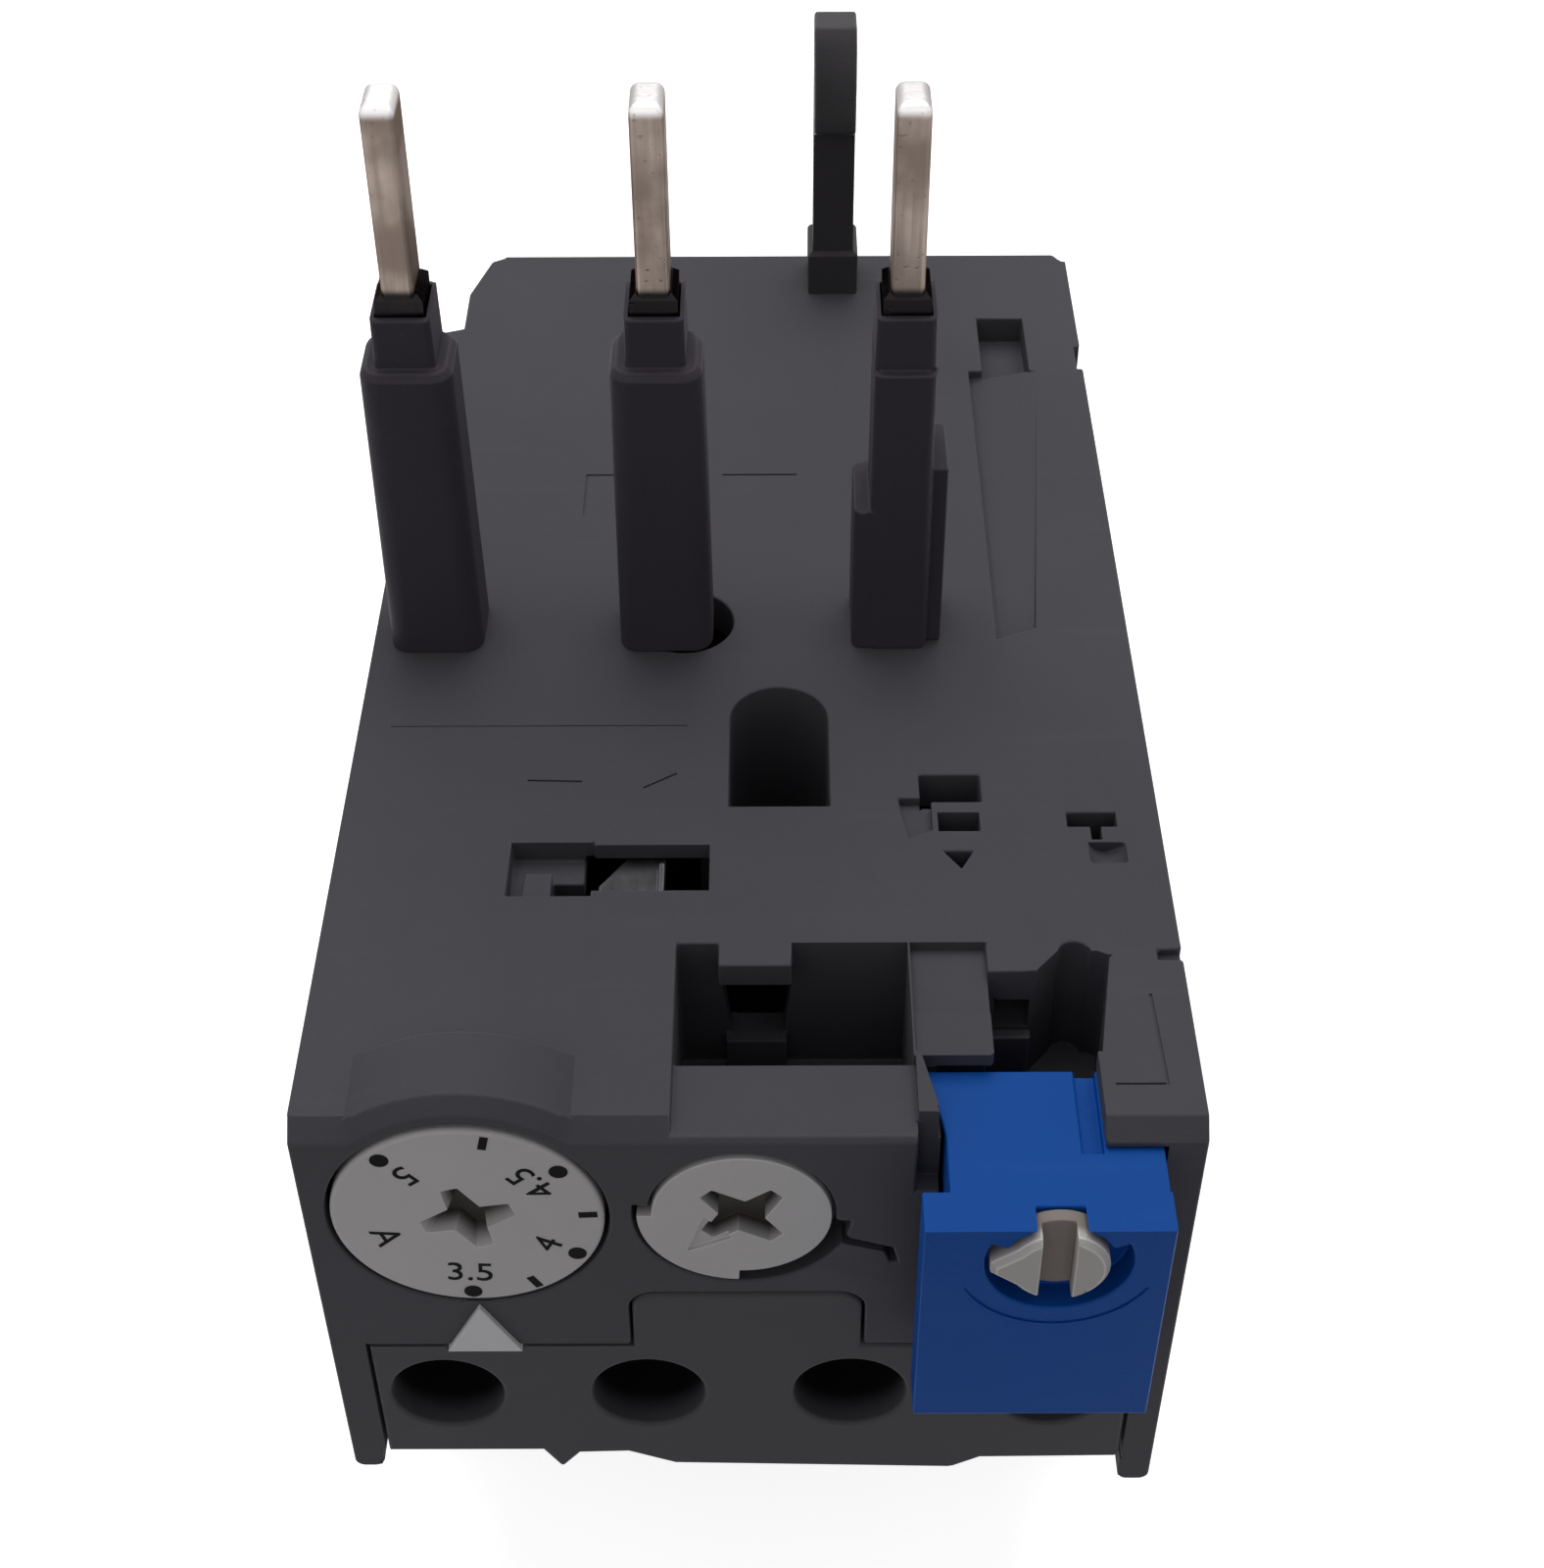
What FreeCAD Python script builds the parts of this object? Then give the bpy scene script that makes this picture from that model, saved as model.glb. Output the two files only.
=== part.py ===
"""Three-pole thermal overload relay that plugs in under a contactor.

Every size below is in millimetres. While a piece is being shaped, x runs to the right, y runs back from the
front face and z runs up from the deck, the flat top that meets the contactor. save() then moves each piece
into the frame of the part, whose origin is the centre of the box round the part, on its standing face.
"""
import FreeCAD, Part
import math
import os
from FreeCAD import Vector

ALONG_X, ALONG_Y, ALONG_Z = Vector(1, 0, 0), Vector(0, 1, 0), Vector(0, 0, 1)

# Housing
WIDTH = 45.0
DEPTH = 81.3
DECK_HEIGHT = 46.0
SKIRT = 28.0
WALL = 2.2
DECK_THICKNESS = 2.6
TIER_FRONT = 12.6
BULKHEAD = (34.2, 36.0)
CAVITY_FRONT = 14.0
FLOOR = 2.5
EDGE_BEVEL = 1.0
REAR_STEP = 71.0
PANEL_DEPTH = 0.4
SEAM = 0.15

# Poles
PIN_PITCH = 13.6
PIN_CENTRE_X = -5.05
PIN_Y = 39.3
PIN_WIDTH = 1.8
PIN_DEPTH = 3.0
PIN_TIP = 34.3
PIN_FOOT = -14.0
SLEEVE_WIDTH = 5.3
SLEEVE_DEPTH = 5.2
SLEEVE_TOP = 19.2
COLLAR_WIDTH = 3.4
COLLAR_TOP = 22.2
POLES = ("left", "middle", "right")
BIMETAL_Y = 56.0
BIMETAL_OFFSET = 1.45

# Main terminals
MAIN_PITCH = 14.0
MAIN_SCREW_Z = -36.0
MAIN_ACCESS_R = 4.0
MAIN_POCKET = (17.0, 29.5)

# Auxiliary terminals
AUX_PITCH = 10.97
AUX_CENTRE_X = -0.15
AUX_SCREW_Z = -22.4
AUX_ACCESS_R = 3.05
AUX_POCKET = (5.0, 13.3)
AUX_POCKET_HALF = 3.4
AUX_TOP = -17.95
AUX_BACK = 13.9
TAB_X = (-6.25, 5.85)
TAB_TOP = -13.3
TAB_DEPTH = 3.0

# Controls
DIAL_X, DIAL_Z = -14.18, -6.72
DIAL_R = 6.9
BOSS_R = 8.7
BOSS_LENGTH = 4.8
TEST_X, TEST_Z = -0.38, -6.6
TEST_R = 4.55
TEST_LOBE_R = 5.3
CRANK_R = 5.2
CRANK_START = 232.5
BUTTON_X = (8.35, 20.4)
BUTTON_Z = (-16.8, -1.4)
BUTTON_FRONT = -5.0
BUTTON_PLATE_BACK = -2.6
BUTTON_BODY_BACK = 4.95
CHEEK_X = 17.45
SELECTOR_X, SELECTOR_Z = 14.95, -3.9
SELECTOR_R = 2.45
SELECTOR_REACH = 3.35
SELECTOR_FRONT = -5.5
SHAFT_CLEARANCE = 0.05
SPRING_X, SPRING_Z = 18.7, -12.5

# Trip mechanism
LEVER_PIVOT = (-9.5, 31.5)
SLIDER_Z = (-9.0, -6.2)
BAY_BACK = 8.0
RESET_RECESS_DEPTH = 8.0
TEST_RECESS_DEPTH = 9.3
RECESS_BACK = 12.55

ORIGIN_SHIFT = Vector(0, -(DEPTH + SELECTOR_FRONT) / 2, DECK_HEIGHT)


def block(x, y, z):
    """A box between two values on each axis."""
    return Part.makeBox(x[1] - x[0], y[1] - y[0], z[1] - z[0], Vector(x[0], y[0], z[0]))


def around(centre, half):
    return (centre - half, centre + half)


def rod_y(x, z, radius, y):
    return Part.makeCylinder(radius, y[1] - y[0], Vector(x, y[0], z), Vector(0, 1, 0))


def rod_z(x, y, radius, z):
    return Part.makeCylinder(radius, z[1] - z[0], Vector(x, y, z[0]), Vector(0, 0, 1))


def slab(corners, direction):
    """A prism on a closed outline of corners."""
    outline = Part.makePolygon(list(corners) + [corners[0]])
    return Part.Face(outline).extrude(direction)


def plan_slab(points, z):
    return slab([Vector(x, y, z[0]) for x, y in points], Vector(0, 0, z[1] - z[0]))


def front_slab(points, y):
    return slab([Vector(x, y[0], z) for x, z in points], Vector(0, y[1] - y[0], 0))


def side_slab(points, x):
    return slab([Vector(x[0], y, z) for y, z in points], Vector(x[1] - x[0], 0, 0))


def fused(pieces):
    whole = pieces[0].multiFuse(pieces[1:])
    return whole.removeSplitter()


def rounded(shape, radius, axis, wanted):
    """Round the straight edges that run along an axis and whose middle passes the test."""
    chosen = []
    for edge in shape.Edges:
        if len(edge.Vertexes) == 2 and edge.Curve.TypeId == "Part::GeomLine":
            run = edge.Vertexes[1].Point.sub(edge.Vertexes[0].Point)
            if abs(abs(run.dot(axis)) - run.Length) < 1e-6 and wanted(edge.CenterOfMass):
                chosen.append(edge)
    return shape.makeFillet(radius, chosen)


def bevelled(shape, size, wanted):
    """Bevel the edges that lie where the test passes."""
    edges = [e for e in shape.Edges if all(wanted(v.Point) for v in e.Vertexes)]
    return shape.makeChamfer(size, edges)


def anywhere(point):
    return True


def rounded_outline(x, y, width, depth, radius, z):
    """A rectangle with round corners, as a wire at height z."""
    near = radius * (1 - math.sqrt(0.5))
    left, right = around(x, width / 2)
    front, back = around(y, depth / 2)
    corners = ((right, front, -1, 1), (right, back, -1, -1), (left, back, 1, -1), (left, front, 1, 1))
    edges = []
    ends = []
    for index, (cx, cy, sx, sy) in enumerate(corners):
        along_y = Vector(cx, cy + sy * radius, z)
        along_x = Vector(cx + sx * radius, cy, z)
        start, end = (along_x, along_y) if index % 2 == 0 else (along_y, along_x)
        middle = Vector(cx + sx * near, cy + sy * near, z)
        edges.append(Part.Arc(start, middle, end).toShape())
        ends.append((start, end))
    for index in range(4):
        edges.append(Part.makeLine(ends[index][1], ends[(index + 1) % 4][0]))
    return Part.Wire(Part.__sortEdges__(edges))


def tapered_post(x, y, foot, top, radius, z):
    """A post with round corners that narrows from foot (width, depth) to top (width, depth)."""
    outlines = [rounded_outline(x, y, foot[0], foot[1], radius, z[0]),
                rounded_outline(x, y, top[0], top[1], radius, z[1])]
    return Part.makeLoft(outlines, True, True)


def cross_recess(x, z, reach, y, turn):
    """A four-armed driver recess, widest where its arms meet."""
    tip, waist = 0.42, 0.95
    points = []
    for arm in range(4):
        angle = math.radians(turn + 90 * arm)
        along = (math.cos(angle), math.sin(angle))
        for out, side in ((reach, -tip), (reach, tip), (waist, waist * 0.72)):
            points.append((x + along[0] * out - along[1] * side, z + along[1] * out + along[0] * side))
    return front_slab(points, y)


def sector(x, z, radius, start, stop, y):
    """A slice of a cylinder about an axis along y, its angles measured from +x towards +z."""
    def rim(angle):
        turn = math.radians(angle)
        return Vector(x + radius * math.cos(turn), y[0], z + radius * math.sin(turn))
    centre = Vector(x, y[0], z)
    arc = Part.Arc(rim(start), rim((start + stop) / 2), rim(stop)).toShape()
    outline = Part.Wire([Part.makeLine(centre, rim(start)), arc, Part.makeLine(rim(stop), centre)])
    return Part.Face(outline).extrude(Vector(0, y[1] - y[0], 0))


def pin_x(pole):
    return PIN_CENTRE_X + PIN_PITCH * (pole - 1)


def bimetal_x(pole):
    return pin_x(pole) + BIMETAL_OFFSET


def main_x(pole):
    return MAIN_PITCH * (pole - 1)


def aux_x(place):
    return AUX_CENTRE_X + AUX_PITCH * (place - 1.5)


def save(name, shape):
    placed = shape.copy()
    placed.translate(ORIGIN_SHIFT)
    placed.exportStep("parts/" + name + ".step")
    print(name, "solids", len(shape.Solids), "valid", shape.isValid(), "volume", round(shape.Volume, 1))


# Housing shells ---------------------------------------------------------------------------------------------

def plan_outline(front):
    """The body seen from above, from a given front line to the stepped back left corner."""
    half = WIDTH / 2
    return [(-half, front), (half, front), (half, DEPTH), (-18.9, DEPTH), (-20.3, DEPTH - 5),
            (-20.3, REAR_STEP + 0.8), (-half, REAR_STEP)]


def chamber_outline():
    """The room inside the rear of the body, one wall in from its outline."""
    inner = WIDTH / 2 - WALL
    return [(-inner, BULKHEAD[1]), (inner, BULKHEAD[1]), (inner, DEPTH - WALL), (-16.9, DEPTH - WALL),
            (-18.1, DEPTH - 5), (-18.1, REAR_STEP - 0.6), (-inner, REAR_STEP - 1.4)]


def barrel_boss():
    """The half barrel over the setting dial, bevelled at its front like the deck's edge."""
    barrel = rod_y(DIAL_X, DIAL_Z, BOSS_R, (0, BOSS_LENGTH))
    barrel = bevelled(barrel, 0.8, lambda p: p.y < 0.01)
    return barrel.common(block((-WIDTH / 2, 0), (-1, BOSS_LENGTH + 1), (-SKIRT, BOSS_R)))


def side_legs():
    """The two side walls reach below the front housing, the right one further than the left."""
    half = WIDTH / 2
    left = block((-half, -half + 1.7), (0, TIER_FRONT - 0.4), (-SKIRT - 1.6, -SKIRT))
    right = block((half - 1.8, half), (0, TIER_FRONT - 0.4), (-SKIRT - 3.2, -SKIRT))
    return [rounded(leg, 0.6, ALONG_Y, lambda p: p.z < -SKIRT - 1) for leg in (left, right)]


def well_walls():
    """Material left standing under the deck around its wells, so that they are blind pockets."""
    return block((-2.8, 6.0), (21.6, BULKHEAD[0]), (-15.6, -DECK_THICKNESS))


def arch_well():
    x, half = 1.6, 2.8
    return block(around(x, half), (23.0, 30.3), (-14, 1)).fuse(rod_z(x, 30.3, half, (-14, 1)))


def test_recess():
    """The recess behind the index plane, with a lug at its top and a sill and window at its foot."""
    recess = block((-3.8, 8.25), (BOSS_LENGTH - 0.05, RECESS_BACK), (-TEST_RECESS_DEPTH, 1))
    lug = block((-1.6, 2.2), (10.95, RECESS_BACK + 0.1), (-1.6, 2))
    sill = block((-1.3, 1.95), (11.85, RECESS_BACK + 0.1), (-TEST_RECESS_DEPTH - 1, -6.95))
    window = front_slab([(-1.5, -2.9), (-1.1, -6.95), (1.8, -6.95), (2.2, -2.9)], (12, 15))
    return [recess.cut([lug, sill]), window]


def reset_recess():
    """The recess behind the reset button, deeper at its right, with its own sill and window."""
    back = [(18.7, 11.6), (18.1, 11.9), (16.0, 11.9), (14.8, 10.5), (12.3, 10.5)]
    outline = [(12.3, 5.1), (CHEEK_X + 0.25, 5.1)] + back
    recess = plan_slab(outline, (-RESET_RECESS_DEPTH, 1))
    sill = block((12.2, 14.75), (9.9, 10.6), (-RESET_RECESS_DEPTH - 1, -4.55))
    scoop = rod_z(16.9, 11.7, 0.9, (-RESET_RECESS_DEPTH, 1))
    window = block((12.8, 14.6), (10, 15), (-4.3, -2.2))
    return [recess.cut(sill), scoop, window]


def flag_window():
    """The window over the trip flag: an L-shaped shelf, two slots and room for the flag under the deck."""
    shelf = block((-13.0, -8.5), (16.1, 20.1), (-1.4, 1))
    shelf = shelf.cut(block((-12.2, -10.7), (16.0, 18.3), (-3, -0.5)))
    slots = [block((-10.7, -8.7), (16.2, 18.3), (-3, 1)), block((-8.5, -2.2), (16.5, 19.9), (-3, 1))]
    room = block((-9.0, -1.2), (16.2, 21.6), (-3, -1.0))
    return [shelf, room] + slots


def latch_slots():
    left = [block((9.4, 12.8), (23.3, 25.5), (-3, 1)), block((10.3, 12.6), (20.9, 22.4), (-3, 1)),
            plan_slab([(10.5, 19.4), (12.1, 19.4), (11.4, 18.1)], (-3, 1))]
    right = [block((17.4, 20.1), (21.3, 22.4), (-3, 1)), block((18.6, 19.2), (20.2, 21.4), (-3, 1))]
    return left + right


def deck_relief():
    """Shallow steps and dents of the deck."""
    fall = front_slab([(14.65, -0.8), (19.3, 0), (19.3, 1), (14.65, 1)], (36, 66.2))
    valley = fall.common(plan_slab([(14.65, 37.5), (17.0, 38.5), (19.3, 66.2), (14.65, 66.2)], (-2, 1)))
    square = block((15.6, 18.8), (66.2, 72.8), (-2.0, 1))
    latch_dent = plan_slab([(8.2, 23.6), (10.0, 23.6), (10.0, 21.0), (8.6, 20.4)], (-0.6, 1))
    latch_scoop = rod_y(19.4, 0.4, 1.1, (18.4, 20.0))
    index_plane = block((-3.8, BUTTON_X[0]), (-1, BOSS_LENGTH), (-0.7, 1))
    round_hole = rod_z(-4.0, 39.2, 2.9, (-DECK_THICKNESS - 1, 1))
    side_dent = plan_slab([(21.2, 11.3), (23, 11.3), (23, 12.1), (21.2, 12.0)], (-0.6, 1))
    side_notch = block((22.1, 23), (66.5, 69.2), (-4.0, 1))
    return [valley, square, latch_dent, latch_scoop, index_plane, round_hole, side_dent, side_notch]


def side_panels(z):
    """The shallow blank fields on both sides."""
    edge = WIDTH / 2 - PANEL_DEPTH
    return [block(x, (25.0, 62.0), z) for x in ((edge, 30), (-30, -edge))]


def snap_tongues(grow):
    """The tongues of the base that snap into the upper housing's sides."""
    height = (-SKIRT - 0.3 - grow, -23.8 + grow)
    outer = WIDTH / 2 - 0.2 + 10 * grow
    tongues = []
    for y in (19.0, 67.0):
        for side in (-1, 1):
            x = sorted((side * (WIDTH / 2 - 1.5 - grow), side * outer))
            tongues.append(block(x, around(y, 2.0 + grow), height))
    return tongues


def dial_seat():
    pocket = rod_y(DIAL_X, DIAL_Z, DIAL_R + 0.25, (-1, 2.6))
    shaft = rod_y(DIAL_X, DIAL_Z, 2.5 + SHAFT_CLEARANCE, (2, CAVITY_FRONT + 1))
    return [pocket, shaft]


def test_seat():
    """Round pocket with a wider sector for the lobe of the test disc, and room for its crank to swing."""
    pocket = rod_y(TEST_X, TEST_Z, TEST_R + 0.2, (-1, 2.2))
    swing = sector(TEST_X, TEST_Z, TEST_LOBE_R + 0.25, 172, 354, (-1, 2.2))
    shaft = rod_y(TEST_X, TEST_Z, 1.4 + SHAFT_CLEARANCE, (2, 4.2))
    web_room = sector(TEST_X, TEST_Z, CRANK_R + 0.7, 222, 318, (2.9, 4.2))
    web_room = web_room.fuse(rod_y(TEST_X, TEST_Z, 3.5, (2.9, 4.2)))
    rod_room = sector(TEST_X, TEST_Z, CRANK_R + 0.7, 225, 315, (4.1, CAVITY_FRONT + 1))
    rod_room = rod_room.cut(rod_y(TEST_X, TEST_Z, CRANK_R - 0.7, (4, CAVITY_FRONT + 2)))
    lug_slit = front_slab([(3.6, -7.2), (4.1, -7.2), (5.1, -8.6), (7.3, -9.4), (7.6, -10.6), (7.2, -10.6),
                           (6.9, -9.7), (4.8, -9.0)], (-1, 1.4))
    return [pocket, swing, shaft, web_room, rod_room, lug_slit]


def button_bay():
    """The room for the reset button: under the deck at both sides and open above in the middle."""
    height = (BUTTON_Z[0] - SEAM, BUTTON_Z[1] + SEAM)
    bay = block((BUTTON_X[0] + 1.15, BUTTON_X[1] + 0.15), (-1, BAY_BACK), height)
    flare = [(9.45, -1), (9.35, 1.5), (9.0, 3.2), (8.6, 5.1)]
    top = plan_slab(flare + [(CHEEK_X, 5.1), (CHEEK_X, -1)], (-2, 1))
    wing_room = block((8.6, 9.6), (5.0, 7.8), (-2, BUTTON_Z[1] + SEAM))
    guide = block((12.85, 17.15), (BAY_BACK - 1, CAVITY_FRONT + 1), (-14.65, -10.35))
    lip = block((BUTTON_X[0], 12.3), (5.1, RECESS_BACK), (-0.35, 1))
    lip_step = block((BUTTON_X[0], 12.3), (8.0, RECESS_BACK), (-0.6, 1))
    slot = block((BUTTON_X[0] - 0.05, 9.5), (-1, 1.2), (-4.8, 1))
    return [bay, top, wing_room, guide, lip, lip_step, slot]


def terminal_bay():
    """The room at the bottom of the front for the auxiliary terminal block."""
    bay = block((-20.6, 20.75), (-1, AUX_BACK + 0.15), (-SKIRT - 1, AUX_TOP + SEAM))
    tab = tab_shape(SEAM, (-1, TAB_DEPTH + SEAM))
    return [bay, tab]


def tab_shape(grow, y):
    tab = block((TAB_X[0] - grow, TAB_X[1] + grow), y, (AUX_TOP - 1, TAB_TOP + grow))
    return rounded(tab, 1.3 + grow, ALONG_Y, lambda p: p.z > TAB_TOP - 0.01)


def pointer_shape(grow, y):
    half = 2.0 + grow
    return front_slab([(DIAL_X - half, -18.0), (DIAL_X + half, -18.0), (DIAL_X, -14.1 + 1.6 * grow)], y)


def screw_places():
    return [(-7.0, 31.8), (7.0, 31.8), (-14.2, 76.8), (16.4, 76.8)]


def pole_walls():
    return [PIN_CENTRE_X - PIN_PITCH / 2, PIN_CENTRE_X + PIN_PITCH / 2]


def upper_housing():
    body = plan_slab(plan_outline(0), (-SKIRT, 0))
    body = bevelled(body, EDGE_BEVEL, lambda p: p.y < 0.01 and p.z > -0.01)
    body = fused([body, barrel_boss()] + side_legs())
    inner = WIDTH / 2 - WALL
    mechanism = block((-inner, inner), (CAVITY_FRONT, BULKHEAD[0]), (-SKIRT - 1, -DECK_THICKNESS))
    mechanism = mechanism.cut(well_walls())
    chamber = plan_slab(chamber_outline(), (-SKIRT - 1, -DECK_THICKNESS))
    body = body.cut([mechanism, chamber])
    added = [block(around(middle, 0.75), (BULKHEAD[1], DEPTH - WALL), (-SKIRT, -DECK_THICKNESS))
             .cut(block(around(middle, 1), (50, 63), (-13, 0))) for middle in pole_walls()]
    added += [rod_z(x, y, 2.6, (-SKIRT, -17)) for x, y in screw_places()]
    added.append(rod_y(10.8, -14.2, 1.0, (24.0, BULKHEAD[1])))
    body = fused([body] + added)
    tools = [arch_well()] + test_recess() + reset_recess() + flag_window() + latch_slots() + deck_relief()
    tools += dial_seat() + test_seat() + button_bay() + terminal_bay()
    tools += side_panels((-SKIRT - 1, -9.0)) + snap_tongues(0.15)
    tools.append(block((-12, 12), (DEPTH - PANEL_DEPTH, DEPTH + 1), (-24.0, -9.0)))
    tools += [rod_z(x, y, 1.25, (-SKIRT - 1, -19)) for x, y in screw_places()]
    tools += [block(around(pin_x(pole), 1.1), around(PIN_Y, 1.7), (-4, 1)) for pole in range(3)]
    tools.append(block((-16.9, -12.7), (33, 37), (SLIDER_Z[0] - 0.4, -DECK_THICKNESS)))
    tools.append(rod_z(LEVER_PIVOT[0], LEVER_PIVOT[1], 0.92, (-4, -1.6)))
    tools.append(block(around(5.55, 1.2), (76.4, 79.0), (-3, 1)))
    tools.append(pointer_shape(0.02, (-1, 0.9)))
    return body.cut(tools)


def base():
    """The lower tier: three wire pockets at the front and three heater rooms behind them."""
    low = -DECK_HEIGHT
    body = plan_slab(plan_outline(TIER_FRONT), (low, -SKIRT))
    body = rounded(body, 0.8, ALONG_Z, lambda p: p.y < TIER_FRONT + 0.01)
    room = plan_slab(chamber_outline(), (low + FLOOR, -SKIRT + 1))
    body = body.cut(room)
    added = [block(around(middle, 0.75), (BULKHEAD[1], DEPTH - WALL), (low + FLOOR, -SKIRT))
             for middle in pole_walls()]
    added += [rod_z(x, y, 2.6, (low + FLOOR, -SKIRT)) for x, y in screw_places()[2:]]
    body = fused([body] + added)
    tools = []
    for pole in range(3):
        x = main_x(pole)
        tools.append(block(around(x, 4.6), MAIN_POCKET, (low - 1, -31)))
        tools.append(rod_y(x, MAIN_SCREW_Z, MAIN_ACCESS_R, (TIER_FRONT - 1, MAIN_POCKET[0] + 1)))
        tools.append(plan_slab(bar_run(pole, 0.1), (-33.1, -SKIRT + 1)))
    for x, y in screw_places():
        tools.append(rod_z(x, y, 2.5, (low - 1, low + 1.8)))
        tools.append(rod_z(x, y, 1.25, (low, -SKIRT + 1)))
    tools += side_panels((-41.0, -SKIRT + 1))
    tools.append(block((-15, 15), (38, 70), (low - 1, low + PANEL_DEPTH)))
    return fused([body.cut(tools)] + snap_tongues(0))


def terminal_block():
    """The auxiliary terminal block, its raised tab and the wavy lower edge of its front."""
    left, right = -20.45, 20.6
    body = block((left, right), (0, AUX_BACK), (-SKIRT, AUX_TOP))
    tab = tab_shape(0, (0, TAB_DEPTH))
    wave = [(left, -28.1), (-11.8, -28.1), (-10.8, -29.9), (-9.7, -28.4), (-7, -28.3), (-4.4, -29.5),
            (11.2, -30.0), (12.8, -29.0), (right, -28.9)]
    skirt = front_slab([(left, -27.5)] + wave + [(right, -27.5)], (0, 1.8))
    body = fused([body, tab, skirt])
    tools = [pointer_shape(0.02, (-1, 0.9))]
    for place in range(4):
        x = aux_x(place)
        tools.append(rod_y(x, AUX_SCREW_Z, AUX_ACCESS_R, (-1, AUX_POCKET[0] + 1)))
        tools.append(block(around(x, AUX_POCKET_HALF), AUX_POCKET, (-SKIRT - 2, -18.6)))
        tools.append(block(around(x, 1.7), (AUX_POCKET[1] - 0.1, AUX_BACK + 1), (-20.0, -18.65)))
    return body.cut(tools)


# Poles ------------------------------------------------------------------------------------------------------

def straight_sleeve(pole):
    """A tapered insulating sleeve with the narrow collar that enters the contactor."""
    x = pin_x(pole)
    front = 36.3
    middle = front + SLEEVE_DEPTH / 2
    foot, top = (SLEEVE_WIDTH + 0.2, SLEEVE_DEPTH), (SLEEVE_WIDTH - 0.2, SLEEVE_DEPTH - 0.2)
    post = tapered_post(x, middle, foot, top, 1.2, (0, SLEEVE_TOP))
    post = bevelled(post, 0.35, lambda p: p.z > SLEEVE_TOP - 0.01)
    return with_collar(post, x)


def with_collar(post, x):
    foot, top = (COLLAR_WIDTH, 4.3), (COLLAR_WIDTH - 0.15, 4.2)
    collar = tapered_post(x, PIN_Y, foot, top, 0.4, (SLEEVE_TOP - 1, COLLAR_TOP))
    half_width, half_depth = PIN_WIDTH / 2 + 0.05, PIN_DEPTH / 2 + 0.05
    passage = block(around(x, half_width), around(PIN_Y, half_depth), (-1, COLLAR_TOP + 1))
    mouth = block(around(x, 1.4), around(PIN_Y, 1.7), (COLLAR_TOP - 1.5, COLLAR_TOP + 1))
    return fused([post, collar]).cut([passage, mouth])


def stepped_sleeve(pole):
    """The right sleeve: a slim column that stands in a wider one with uneven shoulders."""
    x = pin_x(pole)
    middle = 36.5 + SLEEVE_DEPTH / 2
    foot, top = (3.5, SLEEVE_DEPTH), (3.4, SLEEVE_DEPTH - 0.2)
    slim = tapered_post(x, middle, foot, top, 0.5, (0, SLEEVE_TOP - 0.2))
    left = block((x - 2.65, x - 0.5), (36.6, 36.5 + SLEEVE_DEPTH), (0, 9.9))
    right = block((x + 0.5, x + 2.65), (37.3, 36.5 + SLEEVE_DEPTH), (0, 12.4))
    left = rounded(left, 0.6, ALONG_Z, lambda p: p.x < x - 2)
    return with_collar(fused([slim, left, right]), x)


def pin(pole):
    """The copper blade: its round-nosed tip, the thicker root in the collar and the foot in the chamber."""
    x = pin_x(pole)
    depth = around(PIN_Y, PIN_DEPTH / 2)
    blade = block(around(x, PIN_WIDTH / 2), depth, (PIN_FOOT, PIN_TIP))
    blade = rounded(blade, 0.3, ALONG_Z, anywhere)
    blade = rounded_tip(blade)
    root = bevelled(block(around(x, 1.3), around(PIN_Y, 1.6), (COLLAR_TOP - 1.5, COLLAR_TOP + 1.2)), 0.3,
                    lambda p: p.z > COLLAR_TOP)
    foot = block(around(x, PIN_WIDTH / 2), (PIN_Y, 50.4), (PIN_FOOT, PIN_FOOT + 1.4))
    return fused([blade, root, foot])


def rounded_tip(blade):
    top = [e for e in blade.Edges if all(v.Z > PIN_TIP - 0.01 for v in e.Vertexes)]
    return blade.makeFillet(0.55, top)


def bimetal(pole):
    """A bimetal strip, its foot bent onto the terminal bar, its free end up in the trip slide."""
    x = bimetal_x(pole)
    strip = block(around(x, 0.4), around(BIMETAL_Y, 3.5), (-31.8, -6.0))
    foot = block((x - 0.4, x + 2.2), around(BIMETAL_Y, 3.5), (-31.8, -31.0))
    return rounded(fused([strip, foot]), 0.8, ALONG_X, lambda p: p.z > -6.01)


def heater(pole):
    """The heater ribbon wound round the bimetal, drawn as five turns joined by short steps."""
    x = bimetal_x(pole)
    turn, pitch, low = 1.0, 3.2, -27.8
    pieces = []
    for index in range(5):
        z = (low + pitch * index, low + pitch * index + turn)
        ring = block(around(x, 2.4), around(BIMETAL_Y, 5.6), z)
        pieces.append(ring.cut(block(around(x, 1.8), around(BIMETAL_Y, 5.0), (z[0] - 1, z[1] + 1))))
        side = 1 if index % 2 == 0 else -1
        if index < 4:
            step = sorted((x + side * 1.8, x + side * 2.4))
            pieces.append(block(step, around(BIMETAL_Y, 1.0), (z[0], z[1] + pitch)))
    pieces.append(block((x + 1.8, x + 2.4), (57.5, 59.0), (-31.0, low + turn)))
    return fused(pieces)


def bar_run(pole, grow):
    """The terminal bar seen from above, from the wire pocket back to the bimetal's foot."""
    near, far = main_x(pole), bimetal_x(pole)
    half = 2.6 + grow
    right = [(near + half, 28.0), (near + half, 34.0), (far + half, 46.0), (far + half, 60.5 + grow)]
    left = [(far - half, 60.5 + grow), (far - half, 46.0), (near - half, 34.0), (near - half, 28.0)]
    return right + left


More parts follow.
